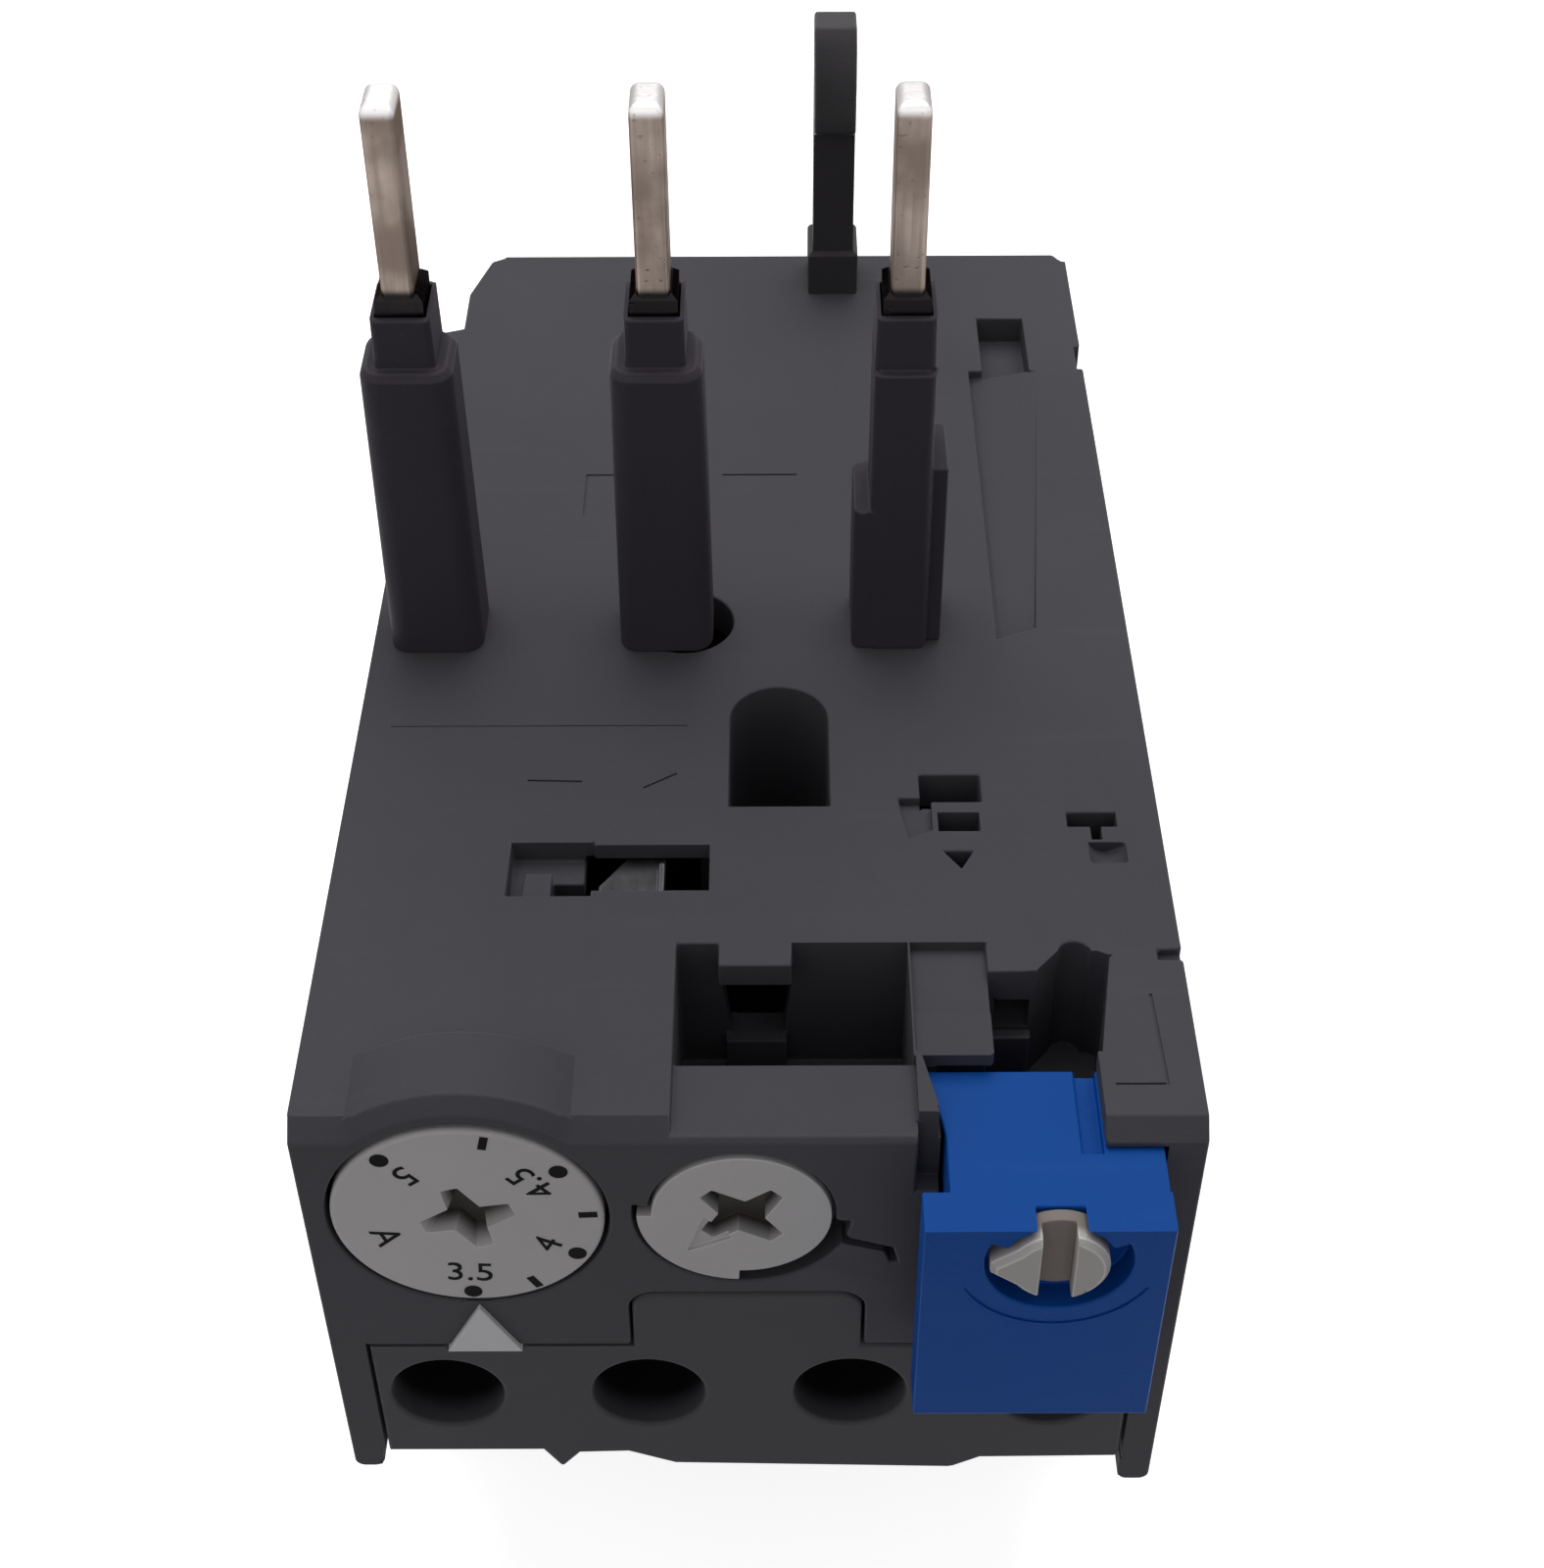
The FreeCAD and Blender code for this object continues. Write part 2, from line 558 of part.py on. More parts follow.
def main_bar(pole):
    x = main_x(pole)
    plate = block(around(x, 4.2), (28.0, MAIN_POCKET[1]), (-43.0, -31.8))
    run = plan_slab(bar_run(pole, 0), (-33.0, -31.8))
    hole = rod_y(x, MAIN_SCREW_Z, 2.05, (27, 31))
    return fused([plate, run]).cut(hole)


def main_clamp(pole):
    """The loose pressure plate, with lips turned towards the wire."""
    x = main_x(pole)
    plate = block(around(x, 4.0), (21.4, 22.4), (-40.5, -31.7))
    lips = [block(around(x, 4.0), (20.4, 21.6), (-32.5, -31.7))]
    lips += [block((edge, edge + 0.8), (20.4, 21.6), (-40.5, -31.7)) for edge in (x - 4.0, x + 3.2)]
    return fused([plate] + lips).cut(rod_y(x, MAIN_SCREW_Z, 2.3, (20, 24)))


def terminal_screw(x, z, head_r, shank_r, head, shank_end):
    """A cross-slotted screw along y, its head towards the front."""
    body = rod_y(x, z, head_r, head).fuse(rod_y(x, z, shank_r, (head[1], shank_end)))
    slots = [block(around(x, head_r * 0.72), (head[0] - 1, head[0] + 1.0), around(z, 0.4)),
             block(around(x, 0.4), (head[0] - 1, head[0] + 1.0), around(z, head_r * 0.72))]
    return body.cut(slots)


def main_screws():
    return Part.makeCompound([terminal_screw(main_x(pole), MAIN_SCREW_Z, 3.2, 2.0, (18.6, 21.3), 29.4)
                              for pole in range(3)])


# Auxiliary terminals ----------------------------------------------------------------------------------------

def aux_terminal(place):
    """A contact strip: plate in the wire pocket, tongue through the block, upright in the mechanism."""
    x = aux_x(place)
    plate = block(around(x, AUX_POCKET_HALF - 0.2), (12.3, AUX_POCKET[1]), (-27.0, -18.8))
    tongue = block(around(x, 1.5), (12.3, 19.0), (-19.8, -18.8))
    upright = block(around(x, 1.5), (18.0, 19.0), (-19.8, -12.5))
    return fused([plate, tongue, upright]).cut(rod_y(x, AUX_SCREW_Z, 1.75, (12, 14)))


def aux_clamp(place):
    x = aux_x(place)
    plate = block(around(x, AUX_POCKET_HALF - 0.3), (7.4, 8.1), (-26.0, -19.2))
    lip = block(around(x, AUX_POCKET_HALF - 0.3), (6.5, 7.6), (-19.9, -19.2))
    return fused([plate, lip]).cut(rod_y(x, AUX_SCREW_Z, 1.9, (6, 9)))


def aux_screws():
    return Part.makeCompound([terminal_screw(aux_x(place), AUX_SCREW_Z, 2.4, 1.6, (5.4, 7.3), 13.2)
                              for place in range(4)])


# Controls ---------------------------------------------------------------------------------------------------

def setting_dial():
    disc = rod_y(DIAL_X, DIAL_Z, DIAL_R, (-0.1, 2.4))
    disc = bevelled(disc, 0.25, lambda p: p.y < 0)
    shaft = rod_y(DIAL_X, DIAL_Z, 2.5, (2.4, 16.0))
    return fused([disc, shaft]).cut(cross_recess(DIAL_X, DIAL_Z, 2.4, (-1, 1.2), 18))


def setting_cam():
    """The eccentric that the dial turns against the trip lever."""
    cam = rod_y(DIAL_X + 0.8, DIAL_Z, 3.0, (16.0, 18.6))
    flange = rod_y(DIAL_X, DIAL_Z, 1.8, (18.6, 19.4))
    return fused([cam, flange])


def test_disc():
    """The small disc with its lobe, its driver recess and a sunk arrow."""
    disc = rod_y(TEST_X, TEST_Z, TEST_R, (-0.1, 2.0))
    disc = fused([disc, sector(TEST_X, TEST_Z, TEST_LOBE_R, 180, 268, (-0.1, 2.0))])
    corners = ((-1.9, -0.1), (-0.5, -1.8), (-2.8, -2.9))
    arrow = front_slab([(TEST_X + x, TEST_Z + z) for x, z in corners], (-1, 0.15))
    return disc.cut([cross_recess(TEST_X, TEST_Z, 2.5, (-1, 1.1), 45), arrow])


def test_shaft():
    """The crank behind the test disc: a short spindle, a web and the rod that runs back below."""
    turn = math.radians(CRANK_START)
    hub = Vector(TEST_X, 3.1, TEST_Z)
    end = hub + Vector(math.cos(turn), 0, math.sin(turn)) * CRANK_R
    side = Vector(-math.sin(turn), 0, math.cos(turn)) * 0.4
    web = slab([hub + side, end + side, end - side, hub - side], Vector(0, 0.9, 0))
    spindle = rod_y(TEST_X, TEST_Z, 1.4, (2.0, 4.0))
    return fused([spindle, web, rod_y(end.x, end.z, 0.4, (3.1, 20.0))])


def scale_pointer():
    return pointer_shape(0, (-0.3, 0.9))


def reset_button():
    """The blue button: a front plate with unequal shoulders, a body that slides in the bay and a stem."""
    plate = block(BUTTON_X, (BUTTON_FRONT, BUTTON_PLATE_BACK), BUTTON_Z)
    body = block((9.7, 20.3), (-3, BUTTON_BODY_BACK), (BUTTON_Z[0] + 0.2, BUTTON_Z[1]))
    wing = plan_slab([(9.8, 0.2), (9.6, 1.5), (9.25, 3.2), (8.85, BUTTON_BODY_BACK), (9.8, BUTTON_BODY_BACK)],
                     (BUTTON_Z[1] - 0.4, BUTTON_Z[1]))
    top_groove = block((16.3, CHEEK_X - 0.1), (-0.3, BUTTON_BODY_BACK + 1), (BUTTON_Z[1] - 0.5, 0))
    hollow = block((11.0, 16.2), (0.5, BUTTON_BODY_BACK + 1), (-9.3, -3.0))
    stem = block((13.0, 17.0), (BUTTON_BODY_BACK - 1, 15.0), (-14.5, -10.5))
    button = fused([plate, body, wing, stem])
    depth = (BUTTON_FRONT - 1, -3.5)
    swing = sector(SELECTOR_X, SELECTOR_Z, SELECTOR_REACH + 0.25, 156, 384, depth)
    pocket = rod_y(SELECTOR_X, SELECTOR_Z, SELECTOR_R + 0.3, depth).fuse(swing)
    hole = rod_y(SELECTOR_X, SELECTOR_Z, 1.2 + SHAFT_CLEARANCE, (-4, -0.8))
    spring_pocket = rod_y(SPRING_X, SPRING_Z, 1.75, (2.0, BUTTON_BODY_BACK + 1))
    return button.cut([top_groove, hollow, pocket, hole, spring_pocket])


def reset_selector():
    """The white selector: a round body with a pointer to the left and a broad slot down its face."""
    y = (SELECTOR_FRONT, -3.6)
    body = rod_y(SELECTOR_X, SELECTOR_Z, SELECTOR_R, y)
    beak = front_slab([(SELECTOR_X - 1.2, SELECTOR_Z + 2.0), (SELECTOR_X - 1.2, SELECTOR_Z - 2.0),
                       (SELECTOR_X - SELECTOR_REACH, SELECTOR_Z - 0.35),
                       (SELECTOR_X - SELECTOR_REACH, SELECTOR_Z + 0.35)], y)
    knob = bevelled(fused([body, beak]), 0.3, lambda p: p.y < SELECTOR_FRONT + 0.01)
    spindle = rod_y(SELECTOR_X, SELECTOR_Z, 1.2, (-3.6, -1.0))
    slot = block((SELECTOR_X - 0.95, SELECTOR_X + 0.7), (SELECTOR_FRONT - 1, -4.3), around(SELECTOR_Z, 4))
    return fused([knob, spindle]).cut(slot)


def reset_spring():
    """The return spring, drawn as close flat turns joined at their sides."""
    outer, inner = 1.5, 1.1
    start, end, turns = 2.0, BAY_BACK, 6
    pitch = (end - start) / turns
    pieces = []
    for index in range(turns):
        y = start + pitch * index
        ring = rod_y(SPRING_X, SPRING_Z, outer, (y, y + pitch / 2))
        pieces.append(ring.cut(rod_y(SPRING_X, SPRING_Z, inner, (y - 1, y + pitch))))
        side = 1 if index % 2 == 0 else -1
        pieces.append(block(around(SPRING_X, 0.3), (y + pitch / 4, y + pitch),
                            sorted((SPRING_Z + side * (inner + 0.05), SPRING_Z + side * (outer - 0.05)))))
    return fused(pieces)


# Fixing hook ------------------------------------------------------------------------------------------------

def hook():
    """The hook that holds the relay to the contactor, with its root block and a tenon through the deck."""
    x = 5.55
    stem = side_slab([(76.4, 3.0)] + hook_head() + [(79.9, 3.0)], around(x, 1.4))
    root = bevelled(block(around(x, 1.75), (76.1, 80.4), (0, 3.3)), 0.3, lambda p: p.z > 3.2)
    tenon = block(around(x, 1.1), (76.5, 78.9), (-DECK_THICKNESS, 0.5))
    return fused([stem, root, tenon])


def hook_head():
    barb = [(76.4, 12.2), (75.0, 13.0), (75.0, 16.4), (75.8, 18.8)]
    return barb + [(76.8, 19.8), (79.2, 19.8), (79.9, 19.1)]


# Trip mechanism ---------------------------------------------------------------------------------------------

def trip_slide():
    """The slide that the three bimetals push, with the arm that reaches through the bulkhead."""
    bar = block((-19.6, 13.4), (51.0, 61.0), SLIDER_Z)
    windows = [block((bimetal_x(pole) - 1.6, bimetal_x(pole) + 0.7), around(BIMETAL_Y, 4.0), (-12, -5))
               for pole in range(3)]
    lightening = [block((bimetal_x(pole) + 2.6, bimetal_x(pole) + 10.2), around(BIMETAL_Y, 3.2), (-12, -5))
                  for pole in range(2)]
    arm = block((-16.6, -15.0), (24.2, 52.0), SLIDER_Z)
    return fused([bar, arm]).cut(windows + lightening)


def lever_arm():
    """The trip lever seen from above: hub, arm to the window and the finger that the slide pushes."""
    px, py = LEVER_PIVOT
    finger = [(px - 1.5, 26.2), (-14.7, 26.2), (-14.7, 24.4), (px - 1.2, 24.4)]
    tip = [(px - 1.2, 22.5), (px - 0.4, 21.5), (px - 0.4, 17.6), (px + 3.6, 17.6), (px + 3.6, 19.2)]
    return [(px - 1.5, py)] + finger + tip + [(px + 1.2, 20.4), (px + 1.5, py)]


def trip_lever():
    px, py = LEVER_PIVOT
    arm = plan_slab(lever_arm(), (-9.2, -7.0))
    hub = rod_z(px, py, 2.1, (-12.0, -3.4))
    post = block((px - 1.0, px + 1.0), (21.0, 23.0), (-15.5, -8.0))
    return fused([arm, hub, post]).cut(rod_z(px, py, 0.9 + SHAFT_CLEARANCE, (-13, -2)))


def trip_flag():
    """The bright contact spring that shows in the deck's window."""
    stem = block((-7.6, -6.4), (17.8, 18.8), (-7.0, -1.4))
    plate = plan_slab([(-8.2, 16.7), (-4.6, 16.7), (-4.6, 20.6), (-6.3, 20.6), (-8.2, 17.9)], (-1.7, -1.1))
    edge = block((-4.95, -4.6), (16.7, 19.0), (-1.7, -0.4))
    return fused([stem, plate, edge])


def signal_bridge():
    """The moving bridge of the signal contact, carried by the trip lever."""
    bar = block((-16.9, -5.4), (20.4, 21.0), (-15.5, -13.4))
    return bar.fuse(rod_y(-16.6, -14.4, 0.7, (20.2, 20.5))).removeSplitter()


def trip_bridge():
    return block((4.0, 17.6), (19.1, 19.7), (-15.4, -13.2))


def bridge_carrier():
    """The insulating carrier of the trip contact, sliding on a guide pin of the bulkhead."""
    body = block((9.0, 12.6), (19.7, 28.0), (-16.0, -12.4))
    return body.cut(rod_y(10.8, -14.2, 1.0 + SHAFT_CLEARANCE, (22.5, 29)))


def lever_pin():
    return rod_z(LEVER_PIVOT[0], LEVER_PIVOT[1], 0.9, (-13.0, -1.6))


def case_screws():
    """Four screws that hold the base to the upper housing, driven from below."""
    low = -DECK_HEIGHT
    screws = []
    for x, y in screw_places():
        body = rod_z(x, y, 2.3, (low + 0.2, low + 1.8)).fuse(rod_z(x, y, 1.2, (low + 1.8, -20.0)))
        slots = [block(around(x, 1.5), around(y, 0.35), (low - 1, low + 1.0)),
                 block(around(x, 0.35), around(y, 1.5), (low - 1, low + 1.0))]
        screws.append(body.cut(slots))
    return Part.makeCompound(screws)


def main():
    os.makedirs("parts", exist_ok=True)
    single = {"upper_housing": upper_housing, "base": base, "terminal_block": terminal_block,
              "hook": hook, "setting_dial": setting_dial, "setting_cam": setting_cam,
              "scale_pointer": scale_pointer, "test_disc": test_disc, "test_shaft": test_shaft,
              "reset_button": reset_button, "reset_selector": reset_selector, "reset_spring": reset_spring,
              "main_screws": main_screws, "aux_screws": aux_screws, "case_screws": case_screws,
              "trip_slide": trip_slide, "trip_lever": trip_lever, "trip_flag": trip_flag, "signal_bridge": signal_bridge,
              "trip_bridge": trip_bridge, "bridge_carrier": bridge_carrier, "lever_pin": lever_pin}
    for name, make in single.items():
        save(name, make())
    per_pole = {"pin": pin, "bimetal": bimetal, "heater": heater, "main_bar": main_bar,
                "main_clamp": main_clamp}
    for pole, side in enumerate(POLES):
        for name, make in per_pole.items():
            save(name + "_" + side, make(pole))
        save("sleeve_" + side, stepped_sleeve(pole) if side == "right" else straight_sleeve(pole))
    for place in range(4):
        save("aux_terminal_" + str(place + 1), aux_terminal(place))
        save("aux_clamp_" + str(place + 1), aux_clamp(place))


main()
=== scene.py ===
import math

import bmesh
import bpy
from mathutils import Matrix, Vector
from mathutils.kdtree import KDTree


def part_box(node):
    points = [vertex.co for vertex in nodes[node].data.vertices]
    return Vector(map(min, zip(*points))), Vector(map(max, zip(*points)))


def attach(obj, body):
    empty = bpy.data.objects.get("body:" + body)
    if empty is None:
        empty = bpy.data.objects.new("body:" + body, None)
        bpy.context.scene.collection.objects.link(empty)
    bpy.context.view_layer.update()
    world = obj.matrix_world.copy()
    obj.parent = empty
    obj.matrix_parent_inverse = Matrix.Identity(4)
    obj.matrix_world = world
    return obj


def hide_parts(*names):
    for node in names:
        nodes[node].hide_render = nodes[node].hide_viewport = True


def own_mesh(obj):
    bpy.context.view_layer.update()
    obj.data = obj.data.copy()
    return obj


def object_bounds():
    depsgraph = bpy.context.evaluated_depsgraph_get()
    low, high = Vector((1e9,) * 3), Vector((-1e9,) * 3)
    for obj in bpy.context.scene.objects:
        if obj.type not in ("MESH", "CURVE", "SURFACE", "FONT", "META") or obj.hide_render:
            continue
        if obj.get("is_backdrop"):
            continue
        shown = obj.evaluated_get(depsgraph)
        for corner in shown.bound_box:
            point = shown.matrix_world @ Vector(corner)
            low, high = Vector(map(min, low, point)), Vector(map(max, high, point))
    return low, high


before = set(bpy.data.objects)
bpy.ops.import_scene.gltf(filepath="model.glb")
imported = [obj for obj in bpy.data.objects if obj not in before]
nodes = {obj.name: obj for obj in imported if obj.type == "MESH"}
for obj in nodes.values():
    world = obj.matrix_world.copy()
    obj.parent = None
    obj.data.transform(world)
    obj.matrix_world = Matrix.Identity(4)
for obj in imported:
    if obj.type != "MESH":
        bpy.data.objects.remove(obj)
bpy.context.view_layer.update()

scene = bpy.context.scene

# Shapes are drawn in millimetres from the relay's own edges: x to the right of its middle,
# y back from its front face and z up from the deck. toFrame takes them into the frame.
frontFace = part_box("terminal_block")[0].y
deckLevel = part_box("sleeve_middle")[0].z
toFrame = Matrix.Translation((0, frontFace, deckLevel)) @ Matrix.Scale(0.001, 4)
toRelay = toFrame.inverted()


def relayBox(node):
    low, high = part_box(node)
    return toRelay @ low, toRelay @ high


class Term:
    # one socket of a node tree; arithmetic on it adds Math nodes
    def __init__(self, tree, socket):
        self.tree, self.socket = tree, socket

    def maths(self, operation, first, second):
        return self.tree.add("ShaderNodeMath", {"operation": operation}, {0: first, 1: second})

    def __add__(self, other):
        return self.maths("ADD", self, other)

    def __sub__(self, other):
        return self.maths("SUBTRACT", self, other)

    def __rsub__(self, other):
        return self.maths("SUBTRACT", other, self)

    def __mul__(self, other):
        return self.maths("MULTIPLY", self, other)


class Tree:
    # a shader or geometry tree that is filled one node at a time
    def __init__(self, tree):
        self.tree = tree

    def add(self, kind, settings=None, sockets=None, output=0):
        node = self.tree.nodes.new(kind)
        for key, value in (settings or {}).items():
            setattr(node, key, value)
        for key, value in (sockets or {}).items():
            if isinstance(value, Term):
                self.tree.links.new(value.socket, node.inputs[key])
            else:
                node.inputs[key].default_value = value
        return Term(self, node.outputs[output]) if node.outputs else None

    def given(self, name):
        return self.add("NodeGroupInput", None, None, name)

    def blend(self, factor, first, second):
        return self.add("ShaderNodeMix", {"data_type": "RGBA"}, {0: factor, 6: first, 7: second}, 2)

    def noise(self, where, scale, detail, stretch=(1, 1, 1)):
        spread = self.add("ShaderNodeMapping", None, {"Vector": where, "Scale": stretch})
        return self.add("ShaderNodeTexNoise", None, {"Vector": spread, "Scale": scale, "Detail": detail})

    def ramp(self, value, low, high):
        return self.add("ShaderNodeMapRange", {"interpolation_type": "SMOOTHSTEP"},
                        {"Value": value, "From Min": low, "From Max": high})

    def along(self, where, axis, start, end):
        # 0 to 1 along one axis of the relay, between two places on it in millimetres
        low, high = [(toFrame @ Vector((place, place, place)))["XYZ".index(axis)] for place in (start, end)]
        return self.ramp(self.add("ShaderNodeSeparateXYZ", None, {"Vector": where}, axis), low, high)


def newMaterial(name):
    material = bpy.data.materials.new(name)
    material.use_nodes = True
    material.node_tree.nodes.clear()
    return material, Tree(material.node_tree)


def shade(factor, colour):
    return tuple(min(1.0, channel * factor) for channel in colour) + (1.0,)


def mouldedPlastic(name, look):
    # spark-eroded moulding: cloudy tone, flow lines, fine grain, dust and scuffs, with a painted highlight on
    # the crowns of rounded edges and painted shade deeper in recesses
    material, tree = newMaterial(name)
    where = tree.add("ShaderNodeTexCoord", None, None, "Object")
    edge = tree.add("ShaderNodeAttribute", {"attribute_name": "edge"}, None, "Fac")
    cloud = tree.ramp(tree.noise(where, look["cloudScale"], 4.0), 0.3, 0.7)
    flow = tree.noise(where, look["flowScale"], 3.0, look["flowStretch"])
    grain = tree.noise(where, look["grainScale"], 2.0)
    speck = tree.ramp(tree.noise(where, look["speckScale"], 1.0), 0.66, 0.74)
    scuff = tree.ramp(tree.noise(where, look["scuffScale"], 2.0, look["scuffStretch"]), 0.60, 0.76)
    colour = look["colour"]
    body = tree.blend(cloud, shade(1 - look["spread"], colour), shade(1 + look["spread"], colour))
    body = tree.blend(flow * look["flow"], body, shade(1.3, colour))
    body = tree.blend(speck * look["dust"], body, look["dustColour"])
    body = tree.blend(scuff * look["scuff"], body, shade(1.6, colour))
    # painted highlight: the crowns of rounded edges made lighter
    body = tree.blend(edge * look["edge"], body, shade(look["edgeLight"], colour))
    # painted shade: darker deeper along one axis, into recesses, seams and undercuts
    if "inner" in look:
        inner = look["inner"]
        paintedShade = tree.along(where, inner["axis"], inner["start"], inner["end"])
        body = tree.blend(paintedShade, body, inner["colour"])
    rough = cloud * 0.06 + grain * 0.10 + (look["rough"] - 0.08) - scuff * 0.05 - edge * 0.08
    bump = tree.add("ShaderNodeBump", None, {
        "Strength": look["relief"], "Distance": look["reliefDepth"], "Height": grain + flow * 0.5})
    surface = tree.add("ShaderNodeBsdfPrincipled", None, {
        "Base Color": body, "Roughness": rough, "Normal": bump, "Specular IOR Level": look["gloss"]})
    tree.add("ShaderNodeOutputMaterial", None, {"Surface": surface})
    return material


def workedMetal(name, look):
    # plated or drawn metal: stained patches, draw lines and pits, with a painted highlight on the crowns of
    # rounded edges
    material, tree = newMaterial(name)
    where = tree.add("ShaderNodeTexCoord", None, None, "Object")
    edge = tree.add("ShaderNodeAttribute", {"attribute_name": "edge"}, None, "Fac")
    stain = tree.ramp(tree.noise(where, look["patchScale"], 4.0), 0.36, 0.68)
    drawn = tree.noise(where, look["drawScale"], 3.0, look["drawStretch"])
    pit = tree.ramp(tree.noise(where, look["pitScale"], 1.0), 0.68, 0.76)
    colour = tree.blend(stain * look["stain"], shade(1, look["colour"]), shade(1, look["tarnish"]))
    colour = tree.blend(tree.ramp(drawn, 0.35, 0.7) * look["draw"], colour, shade(0.6, look["colour"]))
    colour = tree.blend(pit * look["pit"], colour, shade(0.5, look["tarnish"]))
    # painted highlight: the crowns of rounded edges made lighter
    colour = tree.blend(edge * look["edge"], colour, shade(look["edgeLight"], look["colour"]))
    if "tip" in look:
        # a painted highlight on the end of the blade, and painted shade on its root where it leaves its
        # sleeve
        tip, root = look["tip"], look["root"]
        tipHighlightMask = tree.along(where, "Z", tip["start"], tip["end"]) * (1 - pit * 0.4) * (1 - edge * 0.5)
        colour = tree.blend(tipHighlightMask, colour, tip["colour"])
        colour = tree.blend(tree.along(where, "Z", root["start"], root["end"]), root["colour"], colour)
    rough = stain * 0.16 + drawn * 0.12 + look["rough"]
    bump = tree.add("ShaderNodeBump", None, {
        "Strength": look["relief"], "Distance": look["reliefDepth"], "Height": drawn - pit * 0.6})
    surface = tree.add("ShaderNodeBsdfPrincipled", None, {
        "Base Color": colour, "Roughness": rough, "Normal": bump, "Metallic": 1.0,
        "Specular Tint": look["glance"]})
    tree.add("ShaderNodeOutputMaterial", None, {"Surface": surface})
    return material


# the edge keys set the painted highlight on the crowns of rounded edges
plasticLook = {"cloudScale": 60.0, "spread": 0.07,
               "flowScale": 260.0, "flowStretch": (1.0, 0.18, 0.5), "flow": 0.16,
               "grainScale": 5200.0, "relief": 0.30, "reliefDepth": 0.00006,
               "speckScale": 1900.0, "dust": 0.012, "dustColour": (0.32, 0.31, 0.30, 1),
               "scuffScale": 700.0, "scuffStretch": (0.10, 1.0, 0.4), "scuff": 0.05,
               "edge": 0.5, "edgeLight": 1.45, "rough": 0.58, "gloss": 0.07}
housingPlastic = mouldedPlastic("housingPlastic", plasticLook | {"colour": (0.072, 0.070, 0.080)})
# painted shade: the block's faces behind its front, in the seams round it, go nearly black
blockPlastic = mouldedPlastic("blockPlastic", plasticLook | {
    "colour": (0.082, 0.078, 0.087), "edge": 0.1,
    "inner": {"axis": "Y", "start": 0.3, "end": 2.2, "colour": (0.006, 0.006, 0.008, 1)}})
sleevePlastic = mouldedPlastic("sleevePlastic", plasticLook | {"colour": (0.052, 0.045, 0.057), "edge": 0.7})
# painted shadow under the hook's barb
hookPlastic = mouldedPlastic("hookPlastic", plasticLook | {
    "colour": (0.074, 0.070, 0.074), "rough": 0.5,
    "inner": {"axis": "Z", "start": 14.6, "end": 12.6, "colour": (0.056, 0.052, 0.056, 1)}})
innerPlastic = mouldedPlastic("innerPlastic", plasticLook | {"colour": (0.018, 0.018, 0.021), "edge": 0.2})
bluePlastic = mouldedPlastic("bluePlastic", plasticLook | {
    "colour": (0.005, 0.074, 0.345), "rough": 0.46, "edgeLight": 1.6, "dust": 0.0, "scuff": 0.04,
    "spread": 0.04})
# painted shade: darker behind the front of the dial and test disc, in the cross recess and on the sides of
# the rims
whitePlastic = mouldedPlastic("whitePlastic", plasticLook | {
    "colour": (0.63, 0.61, 0.61), "rough": 0.46, "edgeLight": 1.4, "dust": 0.0, "spread": 0.04, "scuff": 0.03,
    "inner": {"axis": "Y", "start": 0.0, "end": 1.1, "colour": (0.07, 0.062, 0.058, 1)}})
pointerPlastic = mouldedPlastic("pointerPlastic", plasticLook | {
    "colour": (0.79, 0.78, 0.80), "rough": 0.46, "edgeLight": 1.2, "dust": 0.0, "spread": 0.03, "scuff": 0.0})
# painted shade: darker and browner deeper in the selector's slot
ivoryPlastic = mouldedPlastic("ivoryPlastic", plasticLook | {
    "colour": (0.53, 0.51, 0.49), "rough": 0.42, "edge": 0.8, "edgeLight": 1.7, "dust": 0.0, "spread": 0.05,
    "inner": {"axis": "Y", "start": -5.0, "end": -4.4, "colour": (0.27, 0.235, 0.215, 1)}})
printInk = mouldedPlastic("printInk", plasticLook | {
    "colour": (0.006, 0.006, 0.007), "rough": 0.6, "dust": 0.0, "edge": 0.0, "scuff": 0.0, "gloss": 0.03})
# the edge keys set the painted highlight on the crowns of rounded edges
metalLook = {"patchScale": 420.0, "stain": 0.4,
             "drawScale": 3200.0, "drawStretch": (1.0, 0.2, 1.0), "draw": 0.3,
             "pitScale": 2600.0, "pit": 0.25, "relief": 0.35, "reliefDepth": 0.00004,
             "edge": 0.6, "edgeLight": 1.25, "rough": 0.3, "glance": (0.7, 0.7, 0.7, 1)}
# pins: a painted highlight on the blade's end and painted shade on its root at the sleeve's mouth
pinCopper = workedMetal("pinCopper", metalLook | {
    "colour": (0.30, 0.245, 0.21), "tarnish": (0.13, 0.095, 0.078), "patchScale": 240.0, "stain": 0.75,
    "drawStretch": (1.0, 1.0, 0.04), "draw": 0.6, "rough": 0.24, "edgeLight": 2.2,
    "glance": (0.3, 0.28, 0.27, 1),
    "tip": {"start": 33.5, "end": 34.1, "colour": (0.74, 0.72, 0.72, 1)},
    "root": {"start": 23.4, "end": 23.9, "colour": (0.018, 0.016, 0.017, 1)}})
tinnedCopper = workedMetal("tinnedCopper", metalLook | {
    "colour": (0.60, 0.55, 0.51), "tarnish": (0.36, 0.30, 0.26), "stain": 0.55, "rough": 0.24})
platedSteel = workedMetal("platedSteel", metalLook | {
    "colour": (0.56, 0.55, 0.53), "tarnish": (0.34, 0.31, 0.27)})
springSteel = workedMetal("springSteel", metalLook | {
    "colour": (0.50, 0.50, 0.51), "tarnish": (0.3, 0.3, 0.3), "stain": 0.3, "rough": 0.24,
    "edge": 0.8, "edgeLight": 1.8, "drawStretch": (0.1, 1.0, 1.0)})
